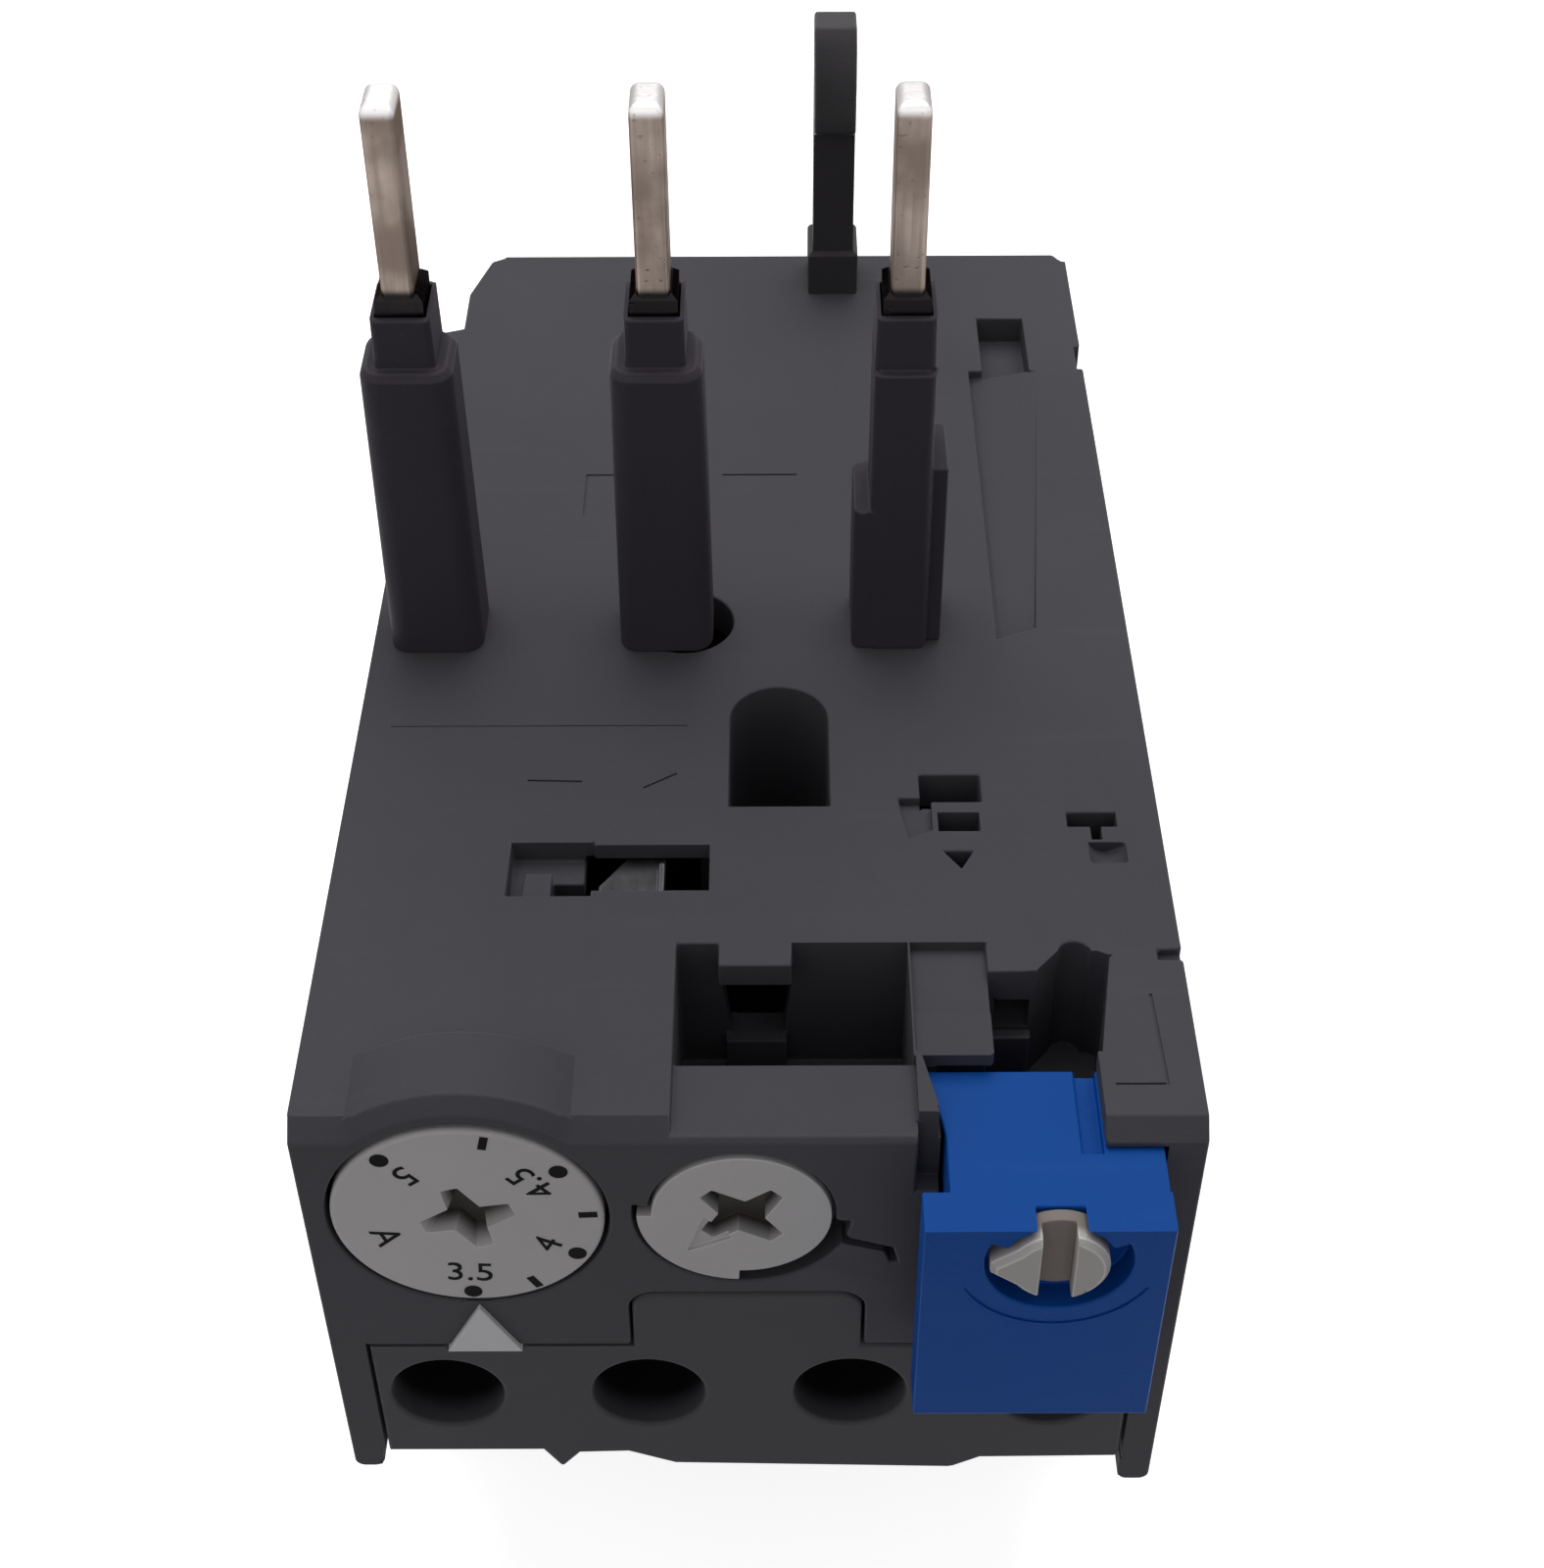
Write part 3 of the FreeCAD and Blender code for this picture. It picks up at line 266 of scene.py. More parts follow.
darkSteel = workedMetal("darkSteel", metalLook | {
    "colour": (0.048, 0.047, 0.051), "tarnish": (0.034, 0.033, 0.036), "edge": 1.0, "edgeLight": 4.5})
heaterRibbon = workedMetal("heaterRibbon", metalLook | {
    "colour": (0.42, 0.38, 0.34), "tarnish": (0.2, 0.15, 0.12), "stain": 0.6, "rough": 0.4})
print("materials ready")


weldGap = 0.0015  # millimetres: points of a solid's triangles that are closer become one


def meshOf(name, work):
    mesh = bpy.data.meshes.new(name)
    work.to_mesh(mesh)
    work.free()
    return mesh


def nodeCopy(name):
    work = bmesh.new()
    work.from_mesh(nodes[name].data)
    work.transform(toRelay)
    bmesh.ops.remove_doubles(work, verts=work.verts, dist=weldGap)
    return meshOf(name + "Copy", work)


def pieceName(node):
    first, *others = node.split("_")
    return first + "".join(word.capitalize() for word in others)


def islands(name):
    # the box of each loose part of a node, in millimetres, from left to right
    work = bmesh.new()
    work.from_mesh(nodeCopy(name))
    left, boxes = set(work.verts), []
    while left:
        reach, found = [left.pop()], []
        while reach:
            vert = reach.pop()
            found.append(vert.co.copy())
            for other in [edge.other_vert(vert) for edge in vert.link_edges]:
                if other in left:
                    left.remove(other)
                    reach.append(other)
        boxes.append([Vector([pick(spot[axis] for spot in found) for axis in range(3)])
                      for pick in (min, max)])
    work.free()
    return sorted(boxes, key=lambda box: (round(box[0].y), box[0].x))


def prism(outline, y):
    # an outline of (x, z) points, run along y
    work = bmesh.new()
    front = work.faces.new([work.verts.new((px, y[0], pz)) for px, pz in outline])
    run = bmesh.ops.extrude_face_region(work, geom=[front])
    moved = [v for v in run["geom"] if isinstance(v, bmesh.types.BMVert)]
    bmesh.ops.translate(work, verts=moved, vec=(0, y[1] - y[0], 0))
    bmesh.ops.recalc_face_normals(work, faces=work.faces)
    return meshOf("prism", work)


def plate(outline, z):
    # an outline of (x, y) points, run along z
    flat = prism(outline, z)
    flat.transform(Matrix(((1, 0, 0, 0), (0, 0, 1, 0), (0, 1, 0, 0), (0, 0, 0, 1))))
    flat.flip_normals()
    return flat


def turned(profile, centre, steps):
    # a profile of (radius, y) points turned about an axis along y through centre (x, z)
    work = bmesh.new()
    rings = []
    for radius, y in profile:
        if radius < 1e-6:
            rings.append([work.verts.new((centre[0], y, centre[1]))])
            continue
        ring = []
        for step in range(steps):
            turn = 2 * math.pi * step / steps
            ring.append(work.verts.new((centre[0] + radius * math.cos(turn), y,
                                        centre[1] + radius * math.sin(turn))))
        rings.append(ring)
    for first, second in zip(rings, rings[1:]):
        for step in range(steps):
            after = (step + 1) % steps
            corners = [first[step % len(first)], first[after % len(first)],
                       second[after % len(second)], second[step % len(second)]]
            work.faces.new(list(dict.fromkeys(corners)))
    bmesh.ops.recalc_face_normals(work, faces=work.faces)
    return meshOf("turned", work)


def joined(meshes):
    work = bmesh.new()
    for mesh in meshes:
        work.from_mesh(mesh)
    return meshOf("joined", work)


def plainMesh(carrier):
    bpy.context.view_layer.update()
    return bpy.data.meshes.new_from_object(carrier.evaluated_get(bpy.context.evaluated_depsgraph_get()))


def cutOut(mesh, other):
    # a mesh with the room of another one taken out of it
    carrier, tool = bpy.data.objects.new("carrier", mesh), bpy.data.objects.new("tool", other)
    modifier = carrier.modifiers.new("cut", "BOOLEAN")
    modifier.operation, modifier.solver, modifier.object = "DIFFERENCE", "EXACT", tool
    for helper in (carrier, tool):
        scene.collection.objects.link(helper)
    result = plainMesh(carrier)
    for helper in (carrier, tool):
        bpy.data.objects.remove(helper)
    return result


def flattened(mesh):
    # the triangles of each flat joined again; a bend of less than 0.3 degrees counts as flat
    work = bmesh.new()
    work.from_mesh(mesh)
    bmesh.ops.dissolve_limit(work, angle_limit=math.radians(0.3), verts=work.verts, edges=work.edges)
    return meshOf("flattened", work)


def crowded(edges, reach, spacing=0.12, ahead=0.35):
    # the edges that run beside another one, closer than reach, and have no room for a rounding
    spots = []
    for edge in edges:
        start, end = edge.verts[0].co, edge.verts[1].co
        steps = max(1, int((end - start).length / spacing))
        spots += [(start.lerp(end, step / steps), edge) for step in range(steps + 1)]
    near = KDTree(len(spots))
    for index, (spot, edge) in enumerate(spots):
        near.insert(spot, index)
    near.balance()
    close = set()
    for spot, edge in spots:
        way = (edge.verts[1].co - edge.verts[0].co).normalized()
        for place, index, distance in near.find_range(spot, reach):
            other = spots[index][1]
            apart = distance > 1e-5 and not set(edge.verts) & set(other.verts)
            if apart and abs((place - spot).dot(way)) < ahead * distance:
                close |= {edge, other}
    return close


def softened(mesh, width, angle=32, segments=2, wanted=None):
    # rounds the sharp edges and marks the crown of each rounding, where the finish paints its edge highlight
    work = bmesh.new()
    work.from_mesh(mesh)
    bmesh.ops.triangulate(work, faces=[face for face in work.faces if len(face.verts) > 4],
                          quad_method="BEAUTY", ngon_method="BEAUTY")
    crown = work.verts.layers.float.get("edge") or work.verts.layers.float.new("edge")
    rounded = work.faces.layers.int.get("rounded") or work.faces.layers.int.new("rounded")
    sharp = [edge for edge in work.edges if len(edge.link_faces) == 2
             and edge.calc_face_angle(0) > math.radians(angle) and (wanted is None or wanted(edge))]
    tight = crowded(sharp, 2.05 * width)  # two roundings side by side and a little more
    made = bmesh.ops.bevel(work, geom=[edge for edge in sharp if edge not in tight], offset=width,
                           segments=segments, profile=0.5, affect="EDGES", clamp_overlap=False,
                           loop_slide=False)
    for face in made["faces"]:
        face[rounded] = 1
    for vert in work.verts:
        vert[crown] = 1.0 if vert.link_faces and all(face[rounded] for face in vert.link_faces) else 0.0
    return meshOf("softened", work)


def evenNormals(mesh, smooth, blended=62):
    # flats keep their own normal up to their edge, and each rounding takes over from the flat beside it
    faces = mesh.polygons
    rounded = mesh.attributes.get("rounded")
    rounded = [bool(item.value) for item in rounded.data] if rounded else [False] * len(faces)
    around = [[] for vert in mesh.vertices]
    for face in faces:
        for vert in face.vertices:
            around[vert].append(face.index)
    normals = [face.normal.copy() for face in faces]
    limit, wide = math.cos(math.radians(smooth)), math.cos(math.radians(blended))

    def mean(lead, others, least):
        total = Vector()
        for other in others:
            if normals[lead].dot(normals[other]) > least:
                total += faces[other].area * normals[other]
        return total.normalized() if total.length > 0 else normals[lead]

    corners = []
    for face in faces:
        for vert in face.vertices:
            flats = [other for other in around[vert] if not rounded[other]]
            if not rounded[face.index]:
                corners.append(mean(face.index, flats, limit))
                continue
            nearest = max(flats, key=lambda other: normals[face.index].dot(normals[other]), default=None)
            if nearest is not None and normals[face.index].dot(normals[nearest]) > wide:
                corners.append(mean(nearest, flats, limit))
            else:
                corners.append(mean(face.index, around[vert], wide))
    mesh.normals_split_custom_set(corners)


def finished(name, mesh, material, body, replaced=(), smooth=35):
    # a mesh in millimetres made a piece of the relay, on its body
    mesh = mesh.copy()
    mesh.transform(toFrame)
    mesh.materials.clear()
    mesh.materials.append(material)
    mesh.polygons.foreach_set("use_smooth", [True] * len(mesh.polygons))
    evenNormals(mesh, smooth)
    piece = bpy.data.objects.new(name, mesh)
    scene.collection.objects.link(piece)
    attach(piece, body)
    if replaced:
        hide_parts(*replaced)
    return piece


def newGroup(name, inputs):
    # a geometry tree with named inputs: {name: (socket type, value)}
    group = bpy.data.node_groups.new(name, "GeometryNodeTree")
    group.interface.new_socket("Geometry", in_out="OUTPUT", socket_type="NodeSocketGeometry")
    group.interface.new_socket("Geometry", in_out="INPUT", socket_type="NodeSocketGeometry")
    for label, (kind, value) in (inputs | {"Finish": ("NodeSocketMaterial", None)}).items():
        socket = group.interface.new_socket(label, in_out="INPUT", socket_type=kind)
        if value is not None:
            socket.default_value = value
    return group, Tree(group)


def closeGroup(tree, geometry):
    solid = tree.add("GeometryNodeRealizeInstances", None, {"Geometry": geometry})
    painted = tree.add("GeometryNodeSetMaterial", None, {"Geometry": solid, "Material": tree.given("Finish")})
    tree.add("NodeGroupOutput", None, {"Geometry": painted})


def grown(group, values, spots=()):
    # runs a tree on loose points and gives back a plain mesh
    points = bpy.data.meshes.new("points")
    points.from_pydata([tuple(spot) for spot in spots], [], [])
    carrier = bpy.data.objects.new("carrier", points)
    modifier = carrier.modifiers.new("grow", "NODES")
    modifier.node_group = group
    for item in group.interface.items_tree:
        if item.in_out == "INPUT" and item.name in values:
            modifier[item.identifier] = values[item.name]
    scene.collection.objects.link(carrier)
    result = plainMesh(carrier)
    carrier.modifiers.remove(modifier)
    bpy.data.objects.remove(carrier)
    return result


def lineOutline(points, width):
    # the outline of an engraved line through (x, y) points, with mitred corners and square ends
    spots = [Vector(spot) for spot in points]
    ways = [(b - a).normalized() for a, b in zip(spots, spots[1:])]
    sides = [Vector((-way.y, way.x)) for way in ways]
    left, right = [], []
    for index, spot in enumerate(spots):
        before, after = sides[max(index - 1, 0)], sides[min(index, len(sides) - 1)]
        mitre = (before + after).normalized()
        mitre = mitre * (width / 2 / max(0.3, mitre.dot(after)))
        if index == 0:
            spot = spot - ways[0] * width / 2
        if index == len(spots) - 1:
            spot = spot + ways[-1] * width / 2
        left.append(tuple(spot + mitre))
        right.append(tuple(spot - mitre))
    return left + right[::-1]


def arcLine(centre, radius, start, end, steps=24):
    turns = [math.radians(start + (end - start) * step / steps) for step in range(steps + 1)]
    return [(centre[0] + radius * math.cos(turn), centre[1] + radius * math.sin(turn)) for turn in turns]


deck = {"rounding": 0.16,
        "corner": {"rounding": 0.8, "angle": 20, "segments": 5, "back": 70, "side": 18.5, "foot": -0.5},
        "lineWidth": 0.16, "lineDepth": 0.1, "faintWidth": 0.1, "faintDepth": 0.05, "above": 0.4}
contactSign = [[(-12.4, 25.1), (-9.5, 25.0)], [(-5.9, 24.5), (-4.2, 25.6)]]
bracketSign = [[(-10.7, 50.0), (-10.7, 54.2), (-7.9, 54.2)], [(-1.9, 54.2), (2.75, 54.2)]]
cornerSign = [[(20.5, 8.8), (20.7, 2.9), (18.2, 2.9)]]
faintLines = [[(-20.6, 29.7), (-3.7, 29.7)]]
engraving = [plate(lineOutline(line, deck["lineWidth"]), (-deck["lineDepth"], deck["above"]))
             for line in contactSign + bracketSign + cornerSign]
engraving += [plate(lineOutline(line, deck["faintWidth"]), (-deck["faintDepth"], deck["above"]))
              for line in faintLines]
corner = deck["corner"]


def outerCorner(edge):
    # an upright edge of the outline that reaches the deck, at the back and at the step
    start, end = edge.verts[0].co, edge.verts[1].co
    upright = abs(start.x - end.x) + abs(start.y - end.y) < 0.01
    outside = start.y > corner["back"] and abs(start.x) > corner["side"]
    return upright and outside and max(start.z, end.z) > corner["foot"] and edge.is_convex


housing = softened(nodeCopy("upper_housing"), corner["rounding"], corner["angle"], corner["segments"],
                   outerCorner)
housing = cutOut(softened(housing, deck["rounding"]), joined(engraving))
finished("upperHousing", housing, housingPlastic, "housing", ["upper_housing"])

shells = {"lowerHousing": ("base", 0.16, housingPlastic, "housing_plastic"),
          "terminalBlock": ("terminal_block", 0.26, blockPlastic, "block_plastic"),
          "fixingHook": ("hook", 0.22, hookPlastic, "hook_plastic")}
for name, (node, rounding, material, slot) in shells.items():
    finished(name, softened(nodeCopy(node), rounding), material, "housing", [node])
print("housing ready")

poles = {"sleeveRounding": 0.14, "pinRounding": 0.26}
for side in ("left", "middle", "right"):
    finished(side + "Sleeve", softened(nodeCopy("sleeve_" + side), poles["sleeveRounding"]), sleevePlastic,
             "housing", ["sleeve_" + side])
    finished(side + "Pin", softened(nodeCopy("pin_" + side), poles["pinRounding"]), pinCopper, "housing",
             ["pin_" + side])
print("poles ready")


crossTaper = {"above": 0.2, "mouth": 1.05, "foot": 0.72, "throat": (2.1, 1.5)}


def taperedCross(centre, front, cross):
    # a driver recess: four arms that narrow with depth and meet in a wider throat
    work = bmesh.new()
    rings = []
    for y, spread in ((front - crossTaper["above"], crossTaper["mouth"]),
                      (front + cross["depth"], crossTaper["foot"])):
        ring = []
        for arm in range(4):
            angle = math.radians(cross["turn"] + 90 * arm)
            along, across = (math.cos(angle), math.sin(angle)), (-math.sin(angle), math.cos(angle))
            half = cross["arm"] / 2
            throat = [half * share for share in crossTaper["throat"]]
            for out, sideways in ((cross["reach"], -half), (cross["reach"], half), throat):
                px = centre[0] + (along[0] * out + across[0] * sideways) * spread
                pz = centre[1] + (along[1] * out + across[1] * sideways) * spread
                ring.append(work.verts.new((px, y, pz)))
        rings.append(ring)
    work.faces.new(rings[0])
    work.faces.new(rings[1])
    for step in range(len(rings[0])):
        after = (step + 1) % len(rings[0])
        work.faces.new([rings[0][step], rings[0][after], rings[1][after], rings[1][step]])
    bmesh.ops.recalc_face_normals(work, faces=work.faces)
    return meshOf("cross", work)


def roundedRim(radius, front, rim, steps=6):
    # the (radius, y) points of a face with a rounded front rim
    profile = [(0.0, front)]
    for step in range(steps + 1):
        turn = math.pi / 2 * step / steps
        profile.append((radius - rim + rim * math.sin(turn), front + rim - rim * math.cos(turn)))
    return profile


facetAngle = 40  # degrees: the facets of a round outline turn by less, and keep their edges
dial = {"rim": 0.28, "back": 2.4, "shaft": 2.5, "steps": 128, "rounding": 0.06,
        "markRadius": 6.1, "numberRadius": 4.5, "numberHeight": 2.1,
        "dot": 0.95, "tick": (0.95, 0.42), "ink": 0.03,
        "dots": (130, 38, -28, -92), "ticks": (78, 3, -60),
        "numbers": (("5", 129), ("4.5", 40), ("4", -28), ("3.5", -93), ("A", -161)),
        "cross": {"depth": 1.3, "reach": 2.4, "arm": 0.9, "turn": 18}}
dialLow, dialHigh = relayBox("setting_dial")
dialCentre = ((dialLow.x + dialHigh.x) / 2, (dialLow.z + dialHigh.z) / 2)
dialRadius = (dialHigh.x - dialLow.x) / 2
dialFront = dialLow.y
dialProfile = roundedRim(dialRadius, dialFront, dial["rim"])
dialProfile += [(dialRadius, dial["back"]), (dial["shaft"], dial["back"]), (dial["shaft"], dialHigh.y),
                (0, dialHigh.y)]
dialDisc = turned(dialProfile, dialCentre, dial["steps"])
dialDisc = cutOut(dialDisc, taperedCross(dialCentre, dialFront, dial["cross"]))
dialDisc = softened(flattened(dialDisc), dial["rounding"], facetAngle)
finished("settingDial", dialDisc, whitePlastic, "dial", ["setting_dial"])

# marks round the dial: a dot or a bar on each point, turned to point away from the dial's middle
markGroup, tree = newGroup("dialMarks", {
    "Middle": ("NodeSocketVector", (0, 0, 0)), "Length": ("NodeSocketFloat", 1.0),
    "Width": ("NodeSocketFloat", 1.0), "Ink": ("NodeSocketFloat", 0.1), "Round": ("NodeSocketBool", True)})
disc = tree.add("GeometryNodeMeshCylinder", None, {"Vertices": 28, "Radius": tree.given("Width") * 0.5,
                                                   "Depth": tree.given("Ink")})
disc = tree.add("GeometryNodeTransform", None, {"Geometry": disc, "Rotation": (math.pi / 2, 0, 0)})
barSize = tree.add("ShaderNodeCombineXYZ", None, {"X": tree.given("Length"), "Y": tree.given("Ink"),
                                                  "Z": tree.given("Width")})
bar = tree.add("GeometryNodeMeshCube", None, {"Size": barSize})
mark = tree.add("GeometryNodeSwitch", {"input_type": "GEOMETRY"},
                {"Switch": tree.given("Round"), "False": bar, "True": disc})
spot = tree.add("GeometryNodeInputPosition")
away = tree.add("ShaderNodeVectorMath", {"operation": "SUBTRACT"}, {0: spot, 1: tree.given("Middle")})
facing = tree.add("FunctionNodeAlignRotationToVector", {"axis": "X", "pivot_axis": "Y"}, {"Vector": away})
closeGroup(tree, tree.add("GeometryNodeInstanceOnPoints", None, {
    "Points": tree.given("Geometry"), "Instance": mark, "Rotation": facing}))


def dialSpots(angles, radius):
    turns = [math.radians(angle) for angle in angles]
    return [(dialCentre[0] + radius * math.cos(turn), dialFront, dialCentre[1] + radius * math.sin(turn))
            for turn in turns]


def printed(sign, angle):
    # a sign on the dial, its foot towards the rim
    curve = bpy.data.curves.new("number", "FONT")
    curve.body = sign
    curve.size = dial["numberHeight"]
    curve.align_x, curve.align_y = "CENTER", "CENTER"
    curve.extrude = dial["ink"]
    curve.resolution_u = 6
    sheet = bpy.data.objects.new("number", curve)
    scene.collection.objects.link(sheet)
    mesh = plainMesh(sheet)
    bpy.data.objects.remove(sheet)
    place = Matrix.Translation(dialSpots([angle], dial["numberRadius"])[0])
    place = place @ Matrix.Rotation(-math.radians(angle + 90), 4, "Y")
    mesh.transform(place @ Matrix.Rotation(math.pi / 2, 4, "X"))
    return mesh


markSizes = {"Middle": (dialCentre[0], dialFront, dialCentre[1]), "Ink": 2 * dial["ink"], "Finish": printInk}
marks = [grown(markGroup, markSizes | {"Round": True, "Width": dial["dot"]},
               dialSpots(dial["dots"], dial["markRadius"])),
         grown(markGroup, markSizes | {"Round": False, "Length": dial["tick"][0], "Width": dial["tick"][1]},
               dialSpots(dial["ticks"], dial["markRadius"]))]
marks += [printed(sign, angle) for sign, angle in dial["numbers"]]
finished("dialMarks", joined(marks), printInk, "dial")
print("dial ready")

button = {"rounding": 0.12, "arcRadius": 4.8, "arcWidth": 0.22, "arcDepth": 0.09, "arc": (205, 335),
          "above": 0.4}
buttonFront = relayBox("reset_button")[0].y
selectorLow, selectorHigh = relayBox("reset_selector")
selectorRadius = (selectorHigh.z - selectorLow.z) / 2
selectorCentre = (selectorHigh.x - selectorRadius, (selectorLow.z + selectorHigh.z) / 2)
arc = lineOutline(arcLine(selectorCentre, button["arcRadius"], *button["arc"]), button["arcWidth"])
blueButton = softened(flattened(nodeCopy("reset_button")), button["rounding"], facetAngle)
blueButton = cutOut(blueButton, prism(arc, (buttonFront - button["above"], buttonFront + button["arcDepth"])))
finished("resetButton", blueButton, bluePlastic, "reset", ["reset_button"])

knobs = {"testDisc": ("test_disc", 0.08, whitePlastic, "test_knob", "white_plastic"),
         "resetSelector": ("reset_selector", 0.09, ivoryPlastic, "selector", "ivory_plastic"),
         "scalePointer": ("scale_pointer", 0.06, pointerPlastic, "housing", "white_plastic")}
for name, (node, rounding, material, body, slot) in knobs.items():
    finished(name, softened(flattened(nodeCopy(node)), rounding, facetAngle), material, body, [node])
print("knobs ready")

# the return spring: a wound wire
spring = {"wire": 0.2, "turns": 6.5, "squeezed": 0.583, "smooth": 60}
springLow, springHigh = relayBox("reset_spring")
springGroup, tree = newGroup("woundSpring", {
    "Turns": ("NodeSocketFloat", 5.0), "Radius": ("NodeSocketFloat", 1.0), "Wire": ("NodeSocketFloat", 0.2),
    "Length": ("NodeSocketFloat", 5.0)})
helix = tree.add("GeometryNodeCurveSpiral", None, {
    "Resolution": 40, "Rotations": tree.given("Turns"), "Start Radius": tree.given("Radius"),
    "End Radius": tree.given("Radius"), "Height": tree.given("Length")})
section = tree.add("GeometryNodeCurvePrimitiveCircle", None, {"Resolution": 12, "Radius": tree.given("Wire")})
wire = tree.add("GeometryNodeCurveToMesh", None, {
    "Curve": helix, "Profile Curve": section, "Fill Caps": True})
closeGroup(tree, tree.add("GeometryNodeTransform", None, {
    "Geometry": wire, "Rotation": (-math.pi / 2, 0, 0)}))
springRadius = (springHigh.x - springLow.x) / 2 - spring["wire"]
coil = grown(springGroup, {"Turns": spring["turns"], "Radius": springRadius, "Wire": spring["wire"],
                           "Length": springHigh.y - springLow.y - 2 * spring["wire"], "Finish": springSteel})
springAxis = ((springLow.x + springHigh.x) / 2, (springLow.z + springHigh.z) / 2)
coil.transform(Matrix.Translation((springAxis[0], springLow.y + spring["wire"], springAxis[1])))
returnSpring = finished("returnSpring", coil, springSteel, "housing", ["reset_spring"],
                        spring["smooth"])
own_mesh(returnSpring)
print("spring ready")


thread = {"root": 0.84, "neck": 0.3, "plain": 0.4, "taper": 0.35, "point": 0.6,
          "flanks": (0.1, 0.45, 0.6, 0.95), "steps": 48, "rounding": 0.07, "angle": 45}


def screwBody(size):
    # one screw at the origin, its head towards -y: domed head, driver recess and rolled thread
    profile = [(0.0, 0.0)]
    for step in range(1, 9):
        turn = math.pi / 2 * step / 8
        profile.append((size["head"] * math.sin(turn), size["dome"] * (1 - math.cos(turn))))
    profile += [(size["head"], size["height"]), (size["shank"], size["height"])]
    crest, root = size["shank"], size["shank"] * thread["root"]
    y = size["height"] + thread["neck"]
    while y + size["pitch"] < size["length"] - thread["plain"]:
        places = [y + size["pitch"] * share for share in thread["flanks"]]
        profile += list(zip((root, crest, crest, root), places))
        y += size["pitch"]
    profile += [(root, size["length"] - thread["taper"]), (crest * thread["point"], size["length"]),
                (0, size["length"])]
    solid = cutOut(turned(profile, (0, 0), thread["steps"]), taperedCross((0, 0), 0, size["cross"]))
    return bpy.data.objects.new("screwBody", softened(solid, thread["rounding"], thread["angle"]))


screwGroup, tree = newGroup("screwRow", {
    "Screw": ("NodeSocketObject", None), "Lean": ("NodeSocketFloat", 0.0),
    "Most Turn": ("NodeSocketFloat", 1.0), "Seed": ("NodeSocketInt", 1)})
pattern = tree.add("GeometryNodeObjectInfo", None, {"Object": tree.given("Screw")}, "Geometry")
lean = tree.add("ShaderNodeCombineXYZ", None, {"X": tree.given("Lean")})
row = tree.add("GeometryNodeInstanceOnPoints", None, {"Points": tree.given("Geometry"), "Instance": pattern,
                                                      "Rotation": lean})
driven = tree.add("FunctionNodeRandomValue", {"data_type": "FLOAT"},
                  {"Min": 0.0, "Max": tree.given("Most Turn"), "Seed": tree.given("Seed")}, 1)
spin = tree.add("ShaderNodeCombineXYZ", None, {"Y": driven})
closeGroup(tree, tree.add("GeometryNodeRotateInstances", None, {
    "Instances": row, "Rotation": spin, "Local Space": True}))

screws = {"main_screws": {"axis": 1, "height": 2.3, "dome": 0.5, "shank": 2.0, "pitch": 0.8, "seed": 4,
                          "cross": {"depth": 1.5, "reach": 2.0, "arm": 0.9, "turn": 0}},
          "aux_screws": {"axis": 1, "height": 1.6, "dome": 0.4, "shank": 1.6, "pitch": 0.6, "seed": 9,
                         "cross": {"depth": 1.2, "reach": 1.6, "arm": 0.7, "turn": 0}},
          "case_screws": {"axis": 2, "height": 1.5, "dome": 0.3, "shank": 1.2, "pitch": 0.9, "seed": 2,
                          "cross": {"depth": 1.1, "reach": 1.5, "arm": 0.65, "turn": 0}}}
for node, size in screws.items():
    boxes = islands(node)
    low, high = boxes[0]
    size["head"], size["length"] = (high.x - low.x) / 2, high[size["axis"]] - low[size["axis"]]
    heads = [(low + high) / 2 for low, high in boxes]
    for head in heads:
        head[size["axis"]] = low[size["axis"]]
    body = screwBody(size)
    scene.collection.objects.link(body)
    row = grown(screwGroup, {"Screw": body, "Lean": math.pi / 2 * (size["axis"] - 1), "Most Turn": math.pi,
                             "Seed": size["seed"], "Finish": platedSteel}, heads)
    bpy.data.objects.remove(body)
    finished(pieceName(node), row, platedSteel, "housing", [node])
print("screws ready")

# the remaining pieces keep their solids' shapes: strips get rounded edges, inner pieces a material
strips = {"main_bar": (tinnedCopper, 0.07), "aux_terminal": (tinnedCopper, 0.07),
          "main_clamp": (platedSteel, 0.07), "aux_clamp": (platedSteel, 0.07), "trip_flag": (darkSteel, 0.14)}
inside = {"lever_pin": platedSteel, "signal_bridge": tinnedCopper, "trip_bridge": tinnedCopper,
          "setting_cam": innerPlastic, "test_shaft": innerPlastic, "trip_slide": ivoryPlastic,
          "trip_lever": innerPlastic, "bridge_carrier": innerPlastic, "bimetal": platedSteel,
          "heater": heaterRibbon}
bodies = {"trip_flag": "lever"}
for name in sorted(nodes):
    node, family = nodes[name], name.rsplit("_", 1)[0]
    if node.hide_render:
        continue
    for key in (name, family):
        if key in strips:
            finish, rounding = strips[key]
            finished(pieceName(name), softened(nodeCopy(name), rounding), finish, bodies.get(name, "housing"),
                     [name])
        elif key in inside:
            node.data.materials.clear()
            node.data.materials.append(inside[key])
print("strips and inner pieces ready")

studio = {"floorHalf": 3.0, "floorColour": (0.93, 0.93, 0.935, 1), "bounceColour": (0.36, 0.36, 0.37, 1),
          "floorGlow": 0.80, "ambient": 0.16}
half = studio["floorHalf"]
floorMesh = bpy.data.meshes.new("floor")
floorMesh.from_pydata([(-half, -half, 0), (half, -half, 0), (half, half, 0), (-half, half, 0)], [],
                      [(0, 1, 2, 3)])
floor = bpy.data.objects.new("floor", floorMesh)
scene.collection.objects.link(floor)


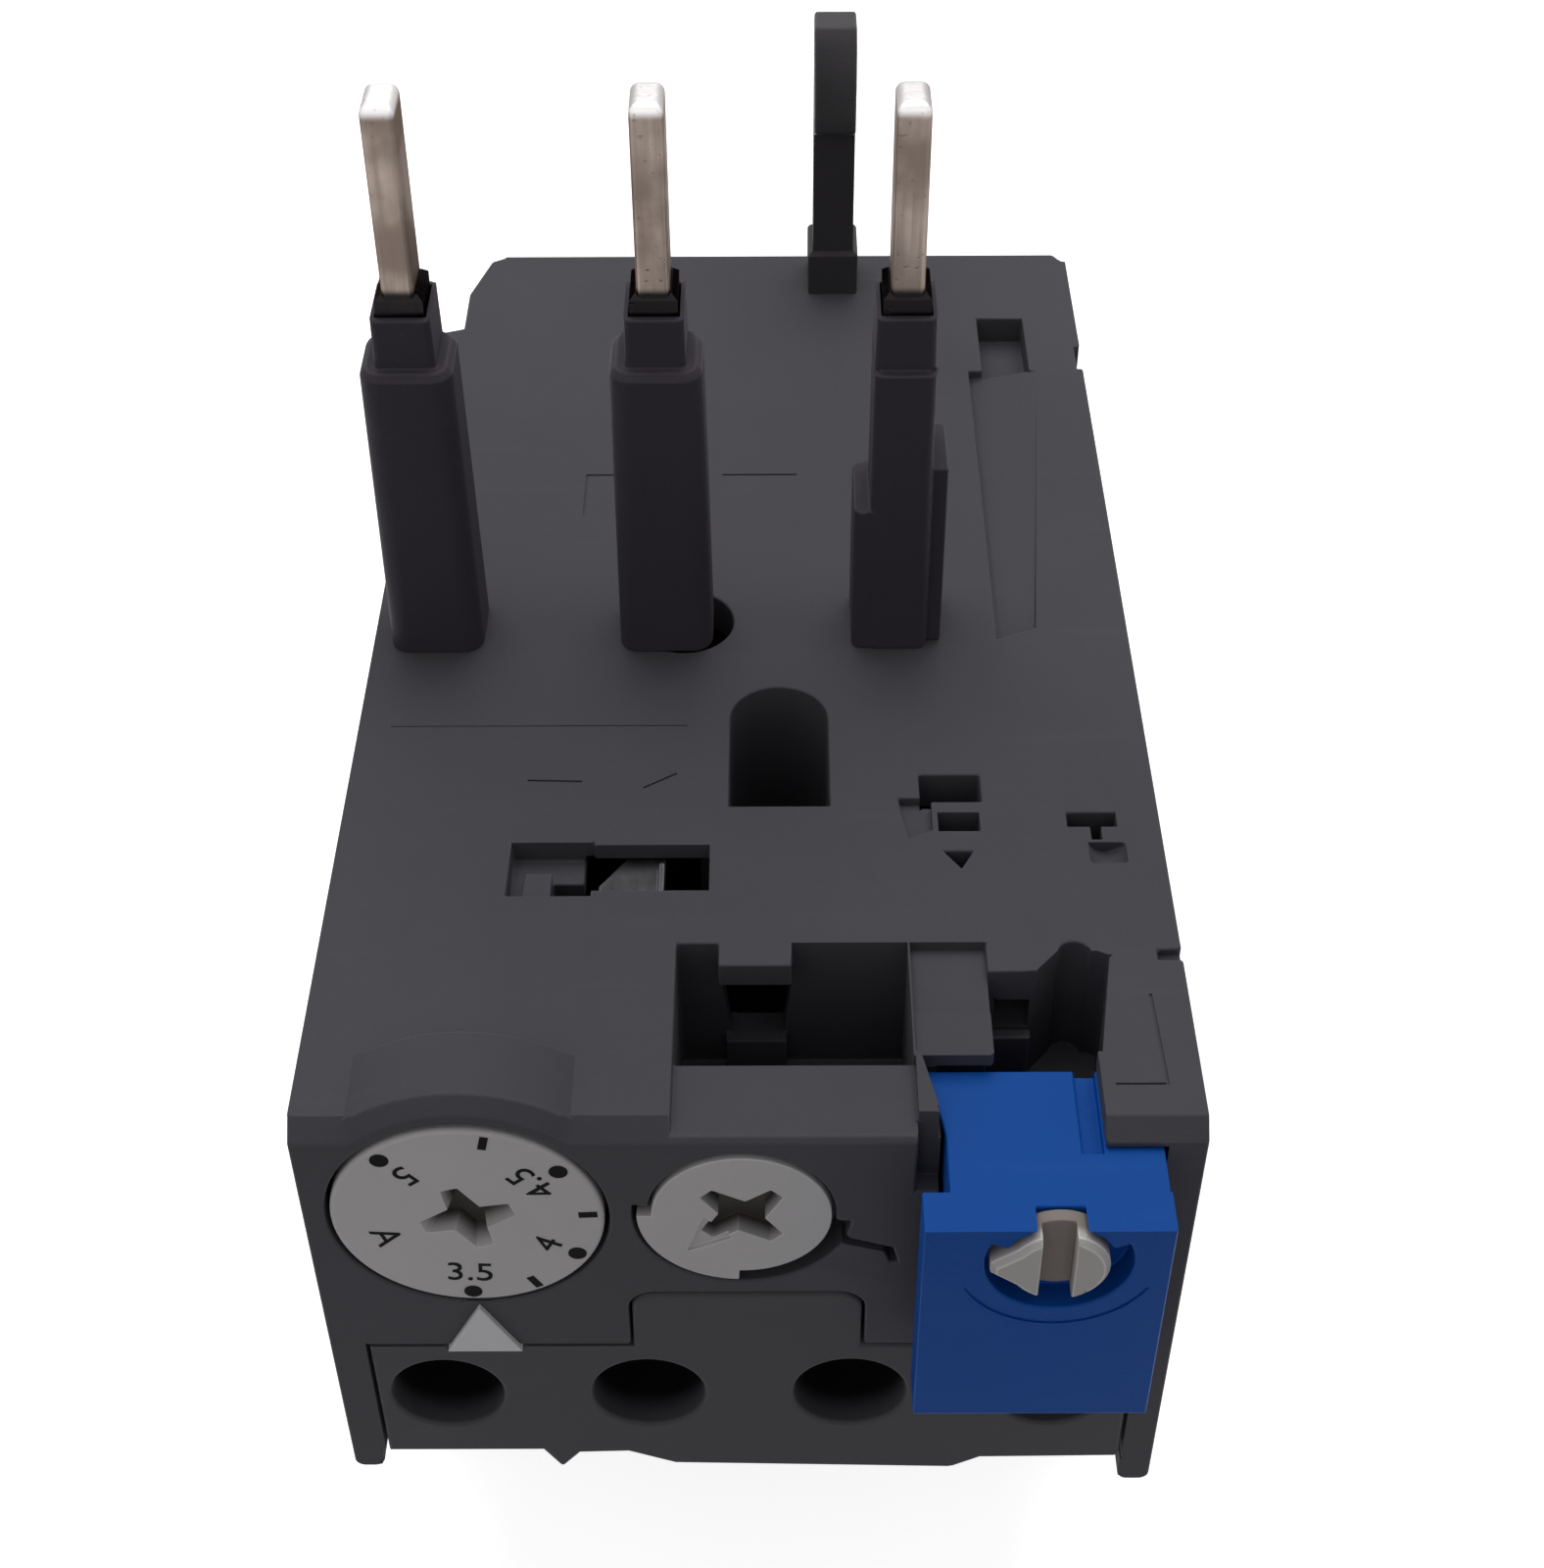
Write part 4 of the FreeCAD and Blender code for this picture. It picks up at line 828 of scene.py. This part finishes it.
def seenDirectly(tree):
    # 1 for what the camera, a reflection or a view through glass meets
    light = [tree.add("ShaderNodeLightPath", None, None, "Is " + kind + " Ray")
             for kind in ("Camera", "Glossy", "Transmission")]
    return tree.add("ShaderNodeMath", {"operation": "MINIMUM"}, {0: light[0] + light[1] + light[2], 1: 1.0})


floorPaint, tree = newMaterial("paleFloor")
pale = tree.add("ShaderNodeBsdfDiffuse", None, {"Color": studio["floorColour"]})
glow = tree.add("ShaderNodeEmission", None, {"Color": (1, 1, 1, 1), "Strength": studio["floorGlow"]})
shown = tree.add("ShaderNodeAddShader", None, {0: pale, 1: glow})
bounce = tree.add("ShaderNodeBsdfDiffuse", None, {"Color": studio["bounceColour"]})
tree.add("ShaderNodeOutputMaterial", None, {
    "Surface": tree.add("ShaderNodeMixShader", None, {0: seenDirectly(tree), 1: bounce, 2: shown})})
floorMesh.materials.append(floorPaint)
floor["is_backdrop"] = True

world = bpy.data.worlds.new("studio")
scene.world = world
world.use_nodes = True
world.node_tree.nodes.clear()
tree = Tree(world.node_tree)
lit = tree.add("ShaderNodeBackground", None, {"Color": (1, 1, 1, 1), "Strength": studio["ambient"]})
white = tree.add("ShaderNodeBackground", None, {"Color": (1, 1, 1, 1), "Strength": 1.0})
tree.add("ShaderNodeOutputWorld", None, {
    "Surface": tree.add("ShaderNodeMixShader", None, {0: seenDirectly(tree), 1: lit, 2: white})})

lamps = {"overhead": {"at": (0.0, 0.17, 0.46), "size": 0.5, "power": 1.65},
         "front": {"at": (-0.15, -0.62, 0.40), "size": 0.8, "power": 0.75},
         "left": {"at": (-0.6, -0.1, 0.38), "size": 0.5, "power": 0.25},
         "right": {"at": (0.6, -0.1, 0.38), "size": 0.5, "power": 0.25}}
aim = Vector((0, 0, deckLevel))
for name, lamp in lamps.items():
    light = bpy.data.lights.new(name, "AREA")
    light.shape, light.size, light.energy = "SQUARE", lamp["size"], lamp["power"]
    stand = bpy.data.objects.new(name, light)
    stand.location = lamp["at"]
    stand.rotation_mode = "QUATERNION"
    stand.rotation_quaternion = (aim - Vector(lamp["at"])).to_track_quat("-Z", "Y")
    scene.collection.objects.link(stand)

viewpoint = {"at": (1.408, -75.753, 92.939), "turn": (47.238, 0.202, -0.065), "lens": 56.306}
cameraData = bpy.data.cameras.new("camera")
cameraData.lens, cameraData.sensor_width = viewpoint["lens"], 36.0
cameraData.clip_start, cameraData.clip_end = 0.01, 10.0
camera = bpy.data.objects.new("camera", cameraData)
camera.location = toFrame @ Vector(viewpoint["at"])
camera.rotation_euler = [math.radians(value) for value in viewpoint["turn"]]
scene.collection.objects.link(camera)
scene.camera = camera
scene.view_settings.view_transform = "Standard"
print("studio ready")

low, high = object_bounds()
